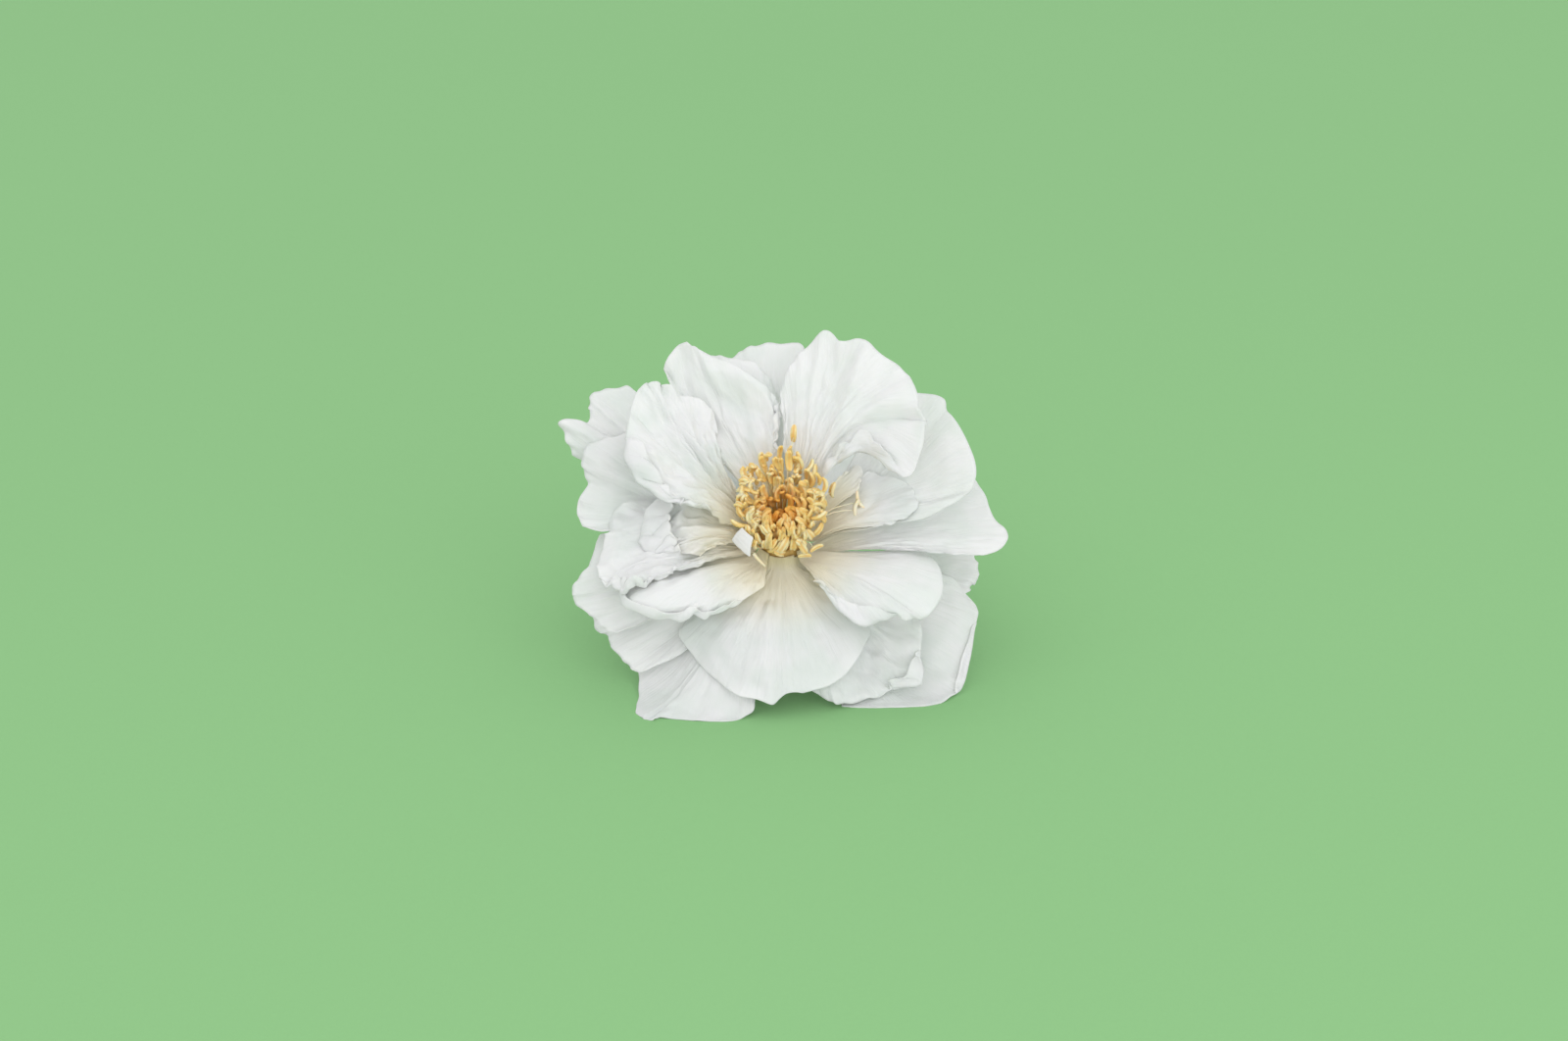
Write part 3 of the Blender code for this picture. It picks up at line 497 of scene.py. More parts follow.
        frill=[(0.0, 1.0, 0.4, 8, 3.5)], crumple=0.4),
    bottomLeft=dict(
        level=-4.0, lean=(90, 110, 128), middle=238, claw=0.5, ruffle=0.3,
        margin=[(212, 24), (219, 29), (225, 33), (230, 33.5), (235, 30.5), (243, 28.5), (252, 27),
                (258, 24.5), (260, 20)],
        edge=[(206.5, 26), (217.5, 29.5), (225.5, 34), (230.5, 34.5), (232, 31.5), (242, 29),
              (252, 27.5), (256, 26), (259, 23.5), (258, 20)],
        curl=[(0.22, 0.45, 1.4, -80)],
        crease=[(0.3, 0.98, 0.34, 0.6, 0.8, 0.5), (0.55, 0.95, 0.52, 0.5, 1.2, -0.35),
                (0.75, 0.95, 0.7, 0.6, 0.9, 0.3)],
        frill=[(0.2, 0.8, 0.2, 6, 3.0)], crumple=0.3),
    outerLowerRight=dict(
        level=-4.4, lean=(92, 108, 122), side=-20, middle=318, claw=0.45, ruffle=0.3,
        margin=[(300, 28), (303, 31), (309, 34.5), (316, 37), (324, 36), (332, 34), (352, 31),
                (357, 32.5), (361, 29.5), (366, 27.5), (367, 23.5)],
        edge=[(289.5, 26), (299.5, 29.5), (308, 32.5), (316, 34.5), (324, 33.5), (329.5, 32.5),
              (343.5, 29.5), (348, 29), (352.5, 26), (357.5, 23.5), (359, 20)],
        curl=[(0.4, 0.5, 1.4, 40), (0.55, 0.9, 1.2, 24)],
        crease=[(0.45, 0.98, 0.48, 0.7, 0.9, 0.6), (0.3, 0.95, 0.34, 0.6, 1.2, -0.4),
                (0.7, 0.95, 0.66, 0.6, 1.0, 0.4)],
        hem=[("margin", 0.38, 0.62, 1.3, 0.4, 1)], frill=[(0.3, 0.9, 0.3, 7, 3.5)], crumple=0.4),
    rightLowBack=dict(
        level=-4.2, lean=(80, 98, 108), middle=356,
        claw=0.45, ruffle=0.3, margin=[(353, 28.5), (360, 32), (365, 33.5), (371, 33.5), (378, 31.5)],
        edge=[(350.5, 26), (357.5, 28.5), (361, 29.5), (367, 29.5), (372.5, 28)],
        curl=[(0.1, 0.9, 1.2, -24)], frill=[(0.0, 1.0, 0.3, 4, 4.0)], crumple=0.2),
    backRight=dict(
        level=-3.2, lean=(74, 90, 98), middle=52, claw=0.45, ruffle=0.4,
        margin=[(22, 17), (28, 23), (38, 27), (50, 29), (62, 28), (74, 24), (82, 18)],
        curl=[(0.1, 0.9, 1.4, -28)], crease=[(0.4, 0.95, 0.45, 0.5, 1.2, 0.4)],
        frill=[(0.1, 0.9, 0.4, 6, 4.0)], crumple=0.3),
    backLeft=dict(
        level=-3.6, lean=(76, 92, 100), middle=118, claw=0.45, ruffle=0.4,
        margin=[(84, 17), (92, 24), (104, 28), (118, 29), (130, 28), (142, 24), (150, 18)],
        curl=[(0.1, 0.9, 1.4, -28)], crease=[(0.6, 0.95, 0.55, 0.5, 1.2, 0.4)],
        frill=[(0.1, 0.9, 0.4, 6, 4.0)], crumple=0.3),
)


def nodeName(name):
    return "".join("_" + letter.lower() if letter.isupper() else letter for letter in name) + "_petal"


def ringPoint(azimuth, radius, height):
    angle = math.radians(azimuth)
    return Vector((radius * math.cos(angle), radius * math.sin(angle), height))


def curveThrough(points, place):
    last = len(points) - 1
    span = min(int(place * last), last - 1)
    f = place * last - span
    before, start = points[max(span - 1, 0)], points[span]
    end, after = points[span + 1], points[min(span + 2, last)]
    return [0.5 * (2 * a + (b - p) * f + (2 * p - 5 * a + 4 * b - q) * f * f
                   + (3 * a - p - 3 * b + q) * f ** 3)
            for p, a, b, q in zip(before, start, end, after)]


def ribPoints(spec, place):
    azimuth, length = curveThrough(spec["margin"], place)
    across = 2 * place - 1
    opening = spec.get("side", 0) * across + spec.get("cup", 0) * across * across
    start, middle, end = spec["lean"]
    middle += flower["middleShare"] * opening
    end += opening
    steps, rows = flower["ribSteps"], flower["rows"]
    radius, height = flower["clawRadius"], spec["level"]
    track = [(radius, height)]
    for i in range(steps):
        t = (i + 0.5) / steps
        lean = start * (1 - t) * (1 - 2 * t) + middle * 4 * t * (1 - t) + end * t * (2 * t - 1)
        radius += length / steps * math.sin(math.radians(lean))
        height += length / steps * math.cos(math.radians(lean))
        track.append((radius, height))
    points = []
    for row in range(rows + 1):
        t = row / rows
        radius, height = track[round(t * steps)]
        first, last = spec.get("spread", flower["clawSpread"])
        spread = spec["claw"] + (1 - spec["claw"]) * t ** (first + (last - first) * place)
        turned = spec["middle"] + (azimuth - spec["middle"]) * spread
        phase = flower["ruffleHalfWaves"] * math.pi * place + spec["middle"]
        points.append(ringPoint(turned, radius, height + spec["ruffle"] * t * t * math.sin(phase)))
    return points


def ribGrid(spec, columns):
    return np.array([ribPoints(spec, column / columns) for column in range(columns + 1)])


def rimPlace(points):
    outward = np.hypot(points[..., 0], points[..., 1]) - flower["clawRadius"]
    upward = points[..., 2] - flower["rimHeight"]
    azimuth = np.arctan2(points[..., 1], points[..., 0])
    return azimuth, np.hypot(outward, upward), np.arctan2(outward, upward)


def fromRimPlace(azimuth, distance, opening):
    radius = flower["clawRadius"] + distance * np.sin(opening)
    height = flower["rimHeight"] + distance * np.cos(opening)
    return np.stack((radius * np.cos(azimuth), radius * np.sin(azimuth), height), axis=-1)


def filledIn(grid, parts):
    for _ in range(2):
        steps = [grid[:-1] * (1 - i / parts) + grid[1:] * (i / parts) for i in range(parts)]
        rows = np.stack(steps, axis=1).reshape(-1, *grid.shape[1:])
        grid = np.concatenate((rows, grid[-1:])).swapaxes(0, 1)
    return grid


def layUnder(grid, others):
    # open a petal wherever it would touch those over it
    fill, window, clawFree = flower["fill"], flower["window"], flower["clawFree"]
    azimuth, distance, opening = (part[..., None] for part in rimPlace(filledIn(grid, fill)))
    overAzimuth, overDistance, overOpening = others
    turn = np.abs((azimuth - overAzimuth + np.pi) % (2 * np.pi) - np.pi)
    reach = flower["clawRadius"] + overDistance * np.sin(overOpening)
    beside = np.hypot(distance - overDistance, reach * turn)
    spare = (flower["layerSpacing"] - flower["marginSlope"] * beside) / np.maximum(distance, clawFree)
    needed = overOpening + spare - opening
    needed[(distance < clawFree) | (overDistance < clawFree)] = 0.0
    push = np.maximum(needed.max(axis=-1), 0.0)
    widest = np.zeros(grid.shape[:2])
    for column in range(grid.shape[0]):
        for row in range(grid.shape[1]):
            across = slice(max(column * fill - window, 0), column * fill + window + 1)
            along = slice(max(row * fill - window, 0), row * fill + window + 1)
            widest[column, row] = push[across, along].max()
    for _ in range(3):
        edged = np.pad(widest, 1, mode="edge")
        mean = (edged[:-2, 1:-1] + edged[2:, 1:-1] + edged[1:-1, :-2] + edged[1:-1, 2:]) / 4
        widest = np.maximum(widest, mean)
    azimuth, distance, opening = rimPlace(grid)
    return fromRimPlace(azimuth, distance, np.minimum(opening + widest, math.pi))


def keepOffSurface(grid, clearance):
    up = np.array((0.0, math.sin(axisTilt), math.cos(axisTilt)))
    sunk = clearance - baseHeight - grid @ up
    return grid + np.maximum(sunk, 0.0)[..., None] * up


def keepOffHip(grid, clearance):
    heights = [h for _, h in hipShape["profile"]]
    radii = [r for r, _ in hipShape["profile"]]
    radius = np.hypot(grid[..., 0], grid[..., 1])
    wider = np.maximum((np.interp(grid[..., 2], heights, radii) + clearance) / radius, 1.0)
    return np.concatenate((grid[..., :2] * wider[..., None], grid[..., 2:]), axis=-1)


def splineWeights(values, count):
    # smooth weights of count evenly spaced points, which end on the first and the last
    where = values * (count - 1)
    span = np.clip(np.floor(where).astype(int), 0, count - 2)
    f = where - span
    shares = [(1 - f) ** 3, 3 * f ** 3 - 6 * f ** 2 + 4, -3 * f ** 3 + 3 * f ** 2 + 3 * f + 1, f ** 3]
    weights = np.zeros(values.shape + (count + 2,))
    for offset, share in enumerate(shares):
        np.put_along_axis(weights, (span + offset)[..., None], share[..., None] / 6, axis=-1)
    inner = weights[..., 1:-1].copy()
    inner[..., 0] += 2 * weights[..., 0]
    inner[..., 1] -= weights[..., 0]
    inner[..., -1] += 2 * weights[..., -1]
    inner[..., -2] -= weights[..., -1]
    return inner


def ease(x):
    x = np.clip(x, 0.0, 1.0)
    return x * x * (3 - 2 * x)


def between(place, start, end, soft=0.07):
    rise = ease((place - start + soft) / (2 * soft)) if start > 0 else 1.0
    fall = ease((end + soft - place) / (2 * soft)) if end < 1 else 1.0
    return rise * fall


def unit(vectors):
    return vectors / np.maximum(np.linalg.norm(vectors, axis=-1, keepdims=True), 1e-9)


def frameOf(surface):
    # unit directions along the ribs, and normals that point to the middle of the flower
    across = unit(np.gradient(surface, axis=0))
    along = unit(np.gradient(surface, axis=1))
    normal = unit(np.cross(across, along))
    radial = unit(surface * (1, 1, 0))
    opening = rimPlace(surface)[2][..., None]
    inward = -radial * np.cos(opening) + np.array((0, 0, 1)) * np.sin(opening)
    if (normal * inward).sum(axis=-1).mean() < 0:
        normal = -normal
    return along, normal


def ribLengths(surface):
    return np.linalg.norm(np.diff(surface, axis=1), axis=-1).sum(axis=1)[:, None]


def walked(points):
    # distance from the first point to each, along the points
    steps = np.linalg.norm(np.diff(points, axis=0), axis=-1)
    return np.concatenate((np.zeros_like(steps[:1]), np.cumsum(steps, axis=0)))


def lengthOf(points):
    return np.linalg.norm(np.diff(points, axis=0), axis=-1).sum()


def ribsAt(grid, place):
    # smooth ribs between the grid's own
    return np.einsum("ci,ijk->cjk", splineWeights(place, grid.shape[0]), grid)


def turnedBy(surface, turn):
    x, y, z = np.moveaxis(surface, -1, 0)
    turned = (x * np.cos(turn) - y * np.sin(turn), x * np.sin(turn) + y * np.cos(turn), z)
    return np.stack(turned, axis=-1)


def widened(surface, spec, place, along):
    # fills the lower half of a petal out towards its two sides
    first, last = spec["fuller"]
    share = (first + (last - first) * place) * np.clip(4 * along * (1 - along) ** 1.5, 0, 1)
    azimuth = np.arctan2(surface[..., 1], surface[..., 0])
    away = (azimuth - math.radians(spec["middle"]) + np.pi) % (2 * np.pi) - np.pi
    return turnedBy(surface, away * share)


def outlined(spec, grid, place, along, seed):
    # a smooth sheet through the ribs, with its margin moved to the edge points and nicked
    controls = ribsAt(grid, place[:, 0])
    length = ribLengths(controls)
    nicks = [noise.noise(Vector((p * 11, seed * 3.1, 0))) + 0.5 * noise.noise(Vector((p * 27, seed, 7)))
             + 1.6 * (0.25 - abs(noise.noise(Vector((p * 8, seed * 1.3, 4))))) for p in place[:, 0]]
    cut = -petalSheet["fray"] * np.array(nicks)[:, None]
    wanted = np.array([curveThrough(spec.get("edge", spec["margin"]), p) for p in place[:, 0]])
    ribbed = np.array([curveThrough(spec["margin"], p) for p in np.linspace(0, 1, grid.shape[0])])
    ribbed = splineWeights(place[:, 0], grid.shape[0]) @ ribbed
    cut = cut - (wanted[:, 1:] - ribbed[:, 1:])
    reach = along * (1 - cut / length * along ** 2)
    surface = np.einsum("crj,cjk->crk", splineWeights(np.clip(reach, 0, 1), grid.shape[1]), controls)
    last = controls[:, -1] - controls[:, -2]
    surface = surface + np.maximum(reach - 1, 0)[..., None] * (grid.shape[1] - 1) * last[:, None]
    turn = np.radians(wanted[:, :1] - ribbed[:, :1]) * along ** 2
    return turnedBy(surface, turn), length


def crease(surface, place, along, length, line):
    # height of a ridge along a straight line on the petal
    startPlace, startAlong, endPlace, endAlong, halfWidth, height = line
    columns, rows = surface.shape[:2]
    wide = lengthOf(surface[:, round((startAlong + endAlong) / 2 * (rows - 1))])
    long = length[round((startPlace + endPlace) / 2 * (columns - 1)), 0]
    x, y = (place - startPlace) * wide, (along - startAlong) * long
    stepX, stepY = (endPlace - startPlace) * wide, (endAlong - startAlong) * long
    share = np.clip((x * stepX + y * stepY) / (stepX ** 2 + stepY ** 2), 0, 1)
    away = np.hypot(x - share * stepX, y - share * stepY)
    return height * np.exp(-(away / halfWidth) ** 1.3)


def crumple(u, v, seed):
    # unevenness at a spot u mm across and v mm along: broad, small and fine waves, then sharp folds
    big = noise.noise(Vector((u * 0.16, v * 0.09, seed * 5.3)))
    small = noise.noise(Vector((u * 0.45, v * 0.22, seed * 2.9)))
    crinkle = abs(noise.noise(Vector(((u + v) * 0.2, (v - u) * 0.26, seed * 1.7))))
    fine = noise.noise(Vector((u * 0.95, v * 0.3, seed * 4.1)))
    pinch = abs(noise.noise(Vector(((u + 0.6 * v) * 0.42, (v - 0.5 * u) * 0.5, seed * 3.7))))
    return big + 0.4 * small + 0.13 * fine + 1.1 * (0.2 - crinkle) + 0.5 * (0.2 - pinch)


def curled(surface, place, toMargin, curl):
    # the margin rolls round an arc
    start, end, wide, turn = curl
    tangent, normal = frameOf(surface)
    bend = np.maximum(np.radians(abs(turn)) * between(place, start, end), 1e-3)
    radius = wide / bend
    past = np.maximum(wide - toMargin, 0.0) * np.ones((len(place), 1))
    side = np.sign(turn) * radius * (1 - np.cos(past / radius))
    slide = radius * np.sin(past / radius) - past
    return surface + tangent * slide[..., None] + normal * side[..., None]


def lipped(surface, along, seed, lip):
    # one side of the petal rolls round an arc and waves
    which, start, wide, turn, height, waves = lip
    normal = frameOf(surface)[1]
    outward = unit(np.gradient(surface, axis=0)) * (1 if which else -1)
    reached = walked(surface)
    toSide = reached[-1:] - reached if which else reached
    strength = ease((along - start) / 0.2)
    wide = np.minimum(wide, 0.35 * reached[-1:])
    radius = wide / np.maximum(np.radians(abs(turn)) * strength, 1e-3)
    past = np.maximum(wide - toSide, 0.0)
    phase = 2 * np.pi * waves * along + 1.3 * np.sin(2 * np.pi * 0.4 * waves * along + seed) + seed
    swing = height * strength * ease(1 - toSide / (2 * wide)) ** 1.5
    side = np.sign(turn) * radius * (1 - np.cos(past / radius)) + swing * np.sin(phase)
    slide = radius * np.sin(past / radius) - past + 0.5 * swing * np.cos(phase)
    return surface + outward * slide[..., None] + normal * side[..., None]


def petalSurface(spec, grid, seed):
    coarser = set(petalSheet["coarse"]) & set(spec["node"].split("_"))
    fineness = petalSheet["coarseShare"] if coarser else 1.0
    columns, rows = (round(petalSheet[key] * fineness) + 1 for key in ("columns", "rows"))
    place = np.linspace(0, 1, columns)[:, None]
    along = np.linspace(0, 1, rows)[None, :]
    surface, length = outlined(spec, grid, place, along, seed)
    if "fuller" in spec:
        surface = widened(surface, spec, place, along)
    normal = frameOf(surface)[1]
    toMargin = (1 - along) * length
    lift = np.zeros((columns, rows))
    for line in spec.get("crease", []):
        lift += crease(surface, place, along, length, line)
    for start, end, height, waves, depth in spec["frill"]:
        swing = np.sin(2 * np.pi * (waves * place + 0.13 * seed)
                       + 1.7 * np.sin(2 * np.pi * (0.37 * waves * place + 0.2 * seed)))
        lift += height * swing * between(place, start, end) * ease(1 - toMargin / depth) ** 1.5
    width = lengthOf(surface[:, -1])
    rough = np.zeros((columns, rows))
    for column in range(columns):
        for row in range(rows):
            rough[column, row] = crumple(place[column, 0] * width, along[0, row] * length[column, 0], seed)
    lift += spec["crumple"] * petalSheet["crumpleHeight"] * rough * ease(along / petalSheet["flatClaw"])
    surface = surface + normal * lift[..., None]
    for curl in spec["curl"]:
        surface = curled(surface, place, toMargin, curl)
    for lip in spec.get("lip", []):
        surface = lipped(surface, along, seed, lip)
    uv = np.stack((place * width / 10 + 5.0 * seed + 0 * along, along * length / 10), axis=-1)
    return surface, uv


# a hem tapers to its two ends, waves, and rises in a round fold
hemShape = dict(columns=8, taper=0.6, least=0.02, swing=0.28, deepest=0.6, fold=3, puff=0.5, full=1.5)


def sampled(wanted, reached, values):
    # values at the wanted distances along a line of points
    return np.stack([np.interp(wanted, reached, channel) for channel in values.T], axis=-1)


def hemSurface(hem, surface, uv):
    # a strip of the petal folded back over it, from its first side or from the margin
    edge, start, end, wide, rise, waves = hem
    grids = (surface, uv, frameOf(surface)[1])
    if edge == "margin":
        grids = (grid[:, ::-1].swapaxes(0, 1) for grid in grids)
    surface, uv, normal = grids
    count = surface.shape[1]
    spots = range(round(start * (count - 1)), round(end * (count - 1)) + 1)
    over = np.linspace(0, 1, hemShape["columns"] + 1)
    strips, maps = [], []
    for number, spot in enumerate(spots):
        share = number / (len(spots) - 1)
        swing = math.sin(2 * math.pi * waves * share + 1.2 * math.sin(2.3 * math.pi * waves * share))
        reach = wide * (math.sin(math.pi * share) ** hemShape["taper"] + hemShape["least"])
        reach *= 1 + hemShape["swing"] * swing
        inward = walked(surface[:, spot])
        wanted = np.minimum(over * reach, hemShape["deepest"] * inward[-1])
        lift = np.sqrt(1 - (1 - np.minimum(over * hemShape["fold"], 1)) ** 2)
        lift = lift * (1 + hemShape["puff"] * over ** 2 * (1 + swing))
        lift *= rise * min(1.0, reach / wide * hemShape["full"])
        line, up = (sampled(wanted, inward, grid[:, spot]) for grid in (surface, normal))
        strips.append(line + up * lift[:, None])
        maps.append(sampled(wanted, inward, uv[:, spot]))
    return np.stack(strips), np.stack(maps)


def sheetPiece(name, surface, uv, material, thickness, smooth):
    bm = bmesh.new()
    bmesh.ops.create_grid(bm, x_segments=surface.shape[0] - 1, y_segments=surface.shape[1] - 1, size=1.0)
    order = sorted(bm.verts, key=lambda vert: (round(vert.co.x, 4), round(vert.co.y, 4)))
    spot = {}
    for vert, point, here in zip(order, surface.reshape(-1, 3), uv.reshape(-1, 2)):
        vert.co = toWorld @ Vector(point)
        spot[vert] = here
    layer = bm.loops.layers.uv.new("UVMap")
    for face in bm.faces:
        for loop in face.loops:
            loop[layer].uv = spot[loop.vert]
    bmesh.ops.recalc_face_normals(bm, faces=bm.faces)
    piece = addPiece(name, bm, material)
    if smooth:
        addSmoothing(piece, smooth)
    solid = piece.modifiers.new("thickness", "SOLIDIFY")
    solid.thickness = thickness * 0.001
    solid.offset = 0.0
    return piece


def addSmoothing(piece, levels):
    finer = piece.modifiers.new("finer", "SUBSURF")
    finer.levels = finer.render_levels = levels


def addPiece(name, bm, material):
    mesh = bpy.data.meshes.new(name)
    bm.to_mesh(mesh)
    bm.free()
    mesh.shade_smooth()
    mesh.materials.append(material)
    piece = bpy.data.objects.new(name, mesh)
    bpy.context.scene.collection.objects.link(piece)
    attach(piece, "root")
    return piece


def withHeel(grid):
    # the claw bends up along the collar of the hip to its rim
    first = grid[:, :1]
    azimuth = np.arctan2(first[..., 1], first[..., 0])
    radius = petalSheet["heelRadius"]
    height = np.minimum(first[..., 2] + petalSheet["heelRise"], petalSheet["heelTop"])
    heel = np.stack((radius * np.cos(azimuth), radius * np.sin(azimuth), height), axis=-1)
    return np.concatenate((heel, grid), axis=1)


thickness, smooth = petalSheet["thickness"], petalSheet["smooth"]
others = None
for seed, (name, spec) in enumerate(petals.items(), start=1):
    spec["node"] = nodeName(name)
    grid = ribGrid(spec, flower["columns"])
    if others is not None:
        grid = layUnder(grid, others)
    grid = keepOffHip(grid, flower["cadThickness"] + flower["touchGap"])
    grid = keepOffSurface(grid, flower["cadThickness"] / 2)
    places = [part.ravel() for part in rimPlace(filledIn(grid, flower["fill"]))]
    others = places if others is None else [np.concatenate(pair) for pair in zip(others, places)]
    surface, uv = petalSurface(spec, withHeel(grid), seed)
    surface = keepOffSurface(surface, thickness / 2)
    piece = sheetPiece(name + "Petal", surface, uv, petalWhite, thickness, smooth)
    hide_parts(spec["node"])
    for number, hem in enumerate(spec.get("hem", []), start=1):
        folded, foldedUv = hemSurface(hem, surface, uv)
        piece = sheetPiece(f"{name}Hem{number}", folded, foldedUv, petalWhite, thickness, smooth)
        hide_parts(spec["node"])
print("petals:", len(petals))


# stamens: a pale filament and a curved, grooved anther each
# rows: foot, front and back are a radius and a height
# stray, long loose ones among the petals: azimuth, radius, height, lean, turn, size
antherShape = dict(wide=0.44, thick=0.37, long=1.85, fullness=1.35, blunt=0.4, leastGirth=0.1,
                   groove=0.7, grooveSlope=2.2)
stamenShape = dict(
    seed=23, filament=0.11, filamentSize=(0.85, 1.2), places=(0, 0.2, 0.4, 0.6, 0.8, 1), stagger=0.35,
    sway=6, arch=0.12, topJitter=0.7, middleJitter=0.25, tilt=(-0.5, 0.7), tiltJitter=0.55,
    aimJitter=0.6, antherGap=0.5, antherSize=(0.72, 1.08), antherBend=(0.5, 1.5),
    rows=[dict(count=20, foot=(2.1, 0.9), front=(2.2, 5.2), back=(2.9, 6.4)),
          dict(count=30, foot=(2.4, 0.9), front=(3.2, 5.6), back=(4.2, 7.8)),
          dict(count=24, foot=(2.6, 0.8), front=(3.4, 4.0), back=(5.0, 6.4)),
          dict(count=38, foot=(2.8, 0.8), front=(4.2, 4.9), back=(5.8, 9.0)),
          dict(count=42, foot=(3.1, 0.7), front=(4.9, 3.7), back=(7.2, 10.2)),
          dict(count=36, foot=(3.3, 0.5), front=(5.4, 2.2), back=(8.2, 10.8))])
strayShape = dict(
    foot=(3.3, 0.7), arch=1.6, aimHeight=0.3, antherGap=0.4, antherBend=0.7,
    golden=[(78, 11.5, 12.0, 20, 0, 0.9), (31, 9.6, 5.4, 10, 0, 0.9), (322, 6.6, 1.8, 75, 60, 0.7),
            (304, 6.0, 1.2, 80, 50, 0.65)],
    pale=[(12, 12.2, 3.6, 30, 60, 0.9), (16, 13.2, 4.2, 50, 100, 0.9)])


def arc(start, middle, end, places):
    return [start.lerp(middle, t).lerp(middle.lerp(end, t), t) for t in places]


def addTube(bm, track, radius, sides=5, taper=0.35):
    # a ring of points is carried along the track, and its ends are closed
    previous = None
    rings = []
    for index, point in enumerate(track):
        ahead = track[min(index + 1, len(track) - 1)] - track[max(index - 1, 0)]
        turned = ahead.to_track_quat("Z", "Y").to_matrix().to_4x4()
        share = 1 - taper * index / (len(track) - 1)
        made = bmesh.ops.create_circle(bm, segments=sides, radius=radius * share,
                                       matrix=toWorld @ Matrix.Translation(point) @ turned)
        ring = made["verts"]
        edges = list({edge for vert in ring for edge in vert.link_edges if edge.other_vert(vert) in ring})
        if previous:
            bmesh.ops.bridge_loops(bm, edges=previous + edges)
        previous = edges
        rings.append(ring)
    bmesh.ops.contextual_create(bm, geom=rings[0])
    bmesh.ops.contextual_create(bm, geom=rings[-1])


def addAnther(bm, place, turned, size, bend):
    # a bean with a groove down both faces, bent round an arc; u runs across the groove
    shape = antherShape
    layer = bm.loops.layers.uv.verify()
    made = bmesh.ops.create_uvsphere(bm, u_segments=8, v_segments=7, radius=1.0)
    spot = {}
    for vert in made["verts"]:
        x, y, z = vert.co
        girth = math.hypot(x, y)
        least = max(girth, shape["leastGirth"])
        spot[vert] = (abs(x) / least, z)
        fuller = shape["fullness"] * least ** -shape["blunt"]
        split = shape["groove"] * max(0.0, girth - shape["grooveSlope"] * abs(x))
        across = shape["wide"] * x * fuller
        through = shape["thick"] * y * fuller * (1 - split)
        angle = bend * z
        radius = shape["long"] / bend
        point = Vector((across, radius * (1 - math.cos(angle)) + through * math.cos(angle),
                        radius * math.sin(angle) - through * math.sin(angle)))
        vert.co = toWorld @ (place + turned @ (point * size))
    for face in {face for vert in made["verts"] for face in vert.link_faces}:
        for loop in face.loops:
            loop[layer].uv = spot[loop.vert]


def facing(direction, aim):
    # turn that lays Z along direction and Y towards aim
    along = direction.normalized()
    side = aim.cross(along).normalized()
    return Matrix((side, along.cross(side), along)).transposed()


def jittered(dice, amount):
    return Vector([dice.uniform(-amount, amount) for _ in range(3)])


dice = random.Random(stamenShape["seed"])
shape = stamenShape
filaments = bmesh.new()
anthers = bmesh.new()
for row in shape["rows"]:
    for index in range(row["count"]):
        stagger = dice.uniform(-shape["stagger"], shape["stagger"])
        azimuth = 360 * (index + stagger) / row["count"]
        back = (1 + math.sin(math.radians(azimuth))) / 2
        radius, height = (front + (behind - front) * back
                          for front, behind in zip(row["front"], row["back"]))
        foot = ringPoint(azimuth, *row["foot"])
        top = ringPoint(azimuth + dice.uniform(-shape["sway"], shape["sway"]), radius, height)
        top += jittered(dice, shape["topJitter"])
        rise = shape["arch"] * (top - foot).length
        middle = foot.lerp(top, 0.5) + Vector((0, 0, rise)) + jittered(dice, shape["middleJitter"])
        addTube(filaments, arc(foot, middle, top, shape["places"]),
                shape["filament"] * dice.uniform(*shape["filamentSize"]))
        outward = ringPoint(azimuth, 1.0, 0.0)
        way = Vector((0, 0, 1.0)) + outward * dice.uniform(*shape["tilt"])
        way = (way + jittered(dice, shape["tiltJitter"])).normalized()
        aim = jittered(dice, shape["aimJitter"]) - outward
        size = dice.uniform(*shape["antherSize"])
        bend = dice.uniform(*shape["antherBend"])
        addAnther(anthers, top + way * shape["antherGap"], facing(way, aim), size, bend)
for bm, strays in ((anthers, strayShape["golden"]), (filaments, strayShape["pale"])):
    for azimuth, radius, height, lean, turn, size in strays:
        foot = ringPoint(azimuth, *strayShape["foot"])
        tip = ringPoint(azimuth, radius, height)
        track = [foot.lerp(tip, t) + Vector((0, 0, strayShape["arch"] * math.sin(math.pi * t)))
                 for t in shape["places"]]
        addTube(filaments, track, shape["filament"])
        way = ringPoint(azimuth + turn, math.sin(math.radians(lean)), math.cos(math.radians(lean)))
        turned = facing(way, ringPoint(azimuth, 1, strayShape["aimHeight"]))
        addAnther(bm, tip + way * strayShape["antherGap"], turned, size, strayShape["antherBend"])
bmesh.ops.recalc_face_normals(filaments, faces=filaments.faces)
bmesh.ops.recalc_face_normals(anthers, faces=anthers.faces)
for piece in (addPiece("stamenFilaments", filaments, filamentPale),
              addPiece("stamenAnthers", anthers, antherGold)):
    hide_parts("stamens")
print("stamens ready")


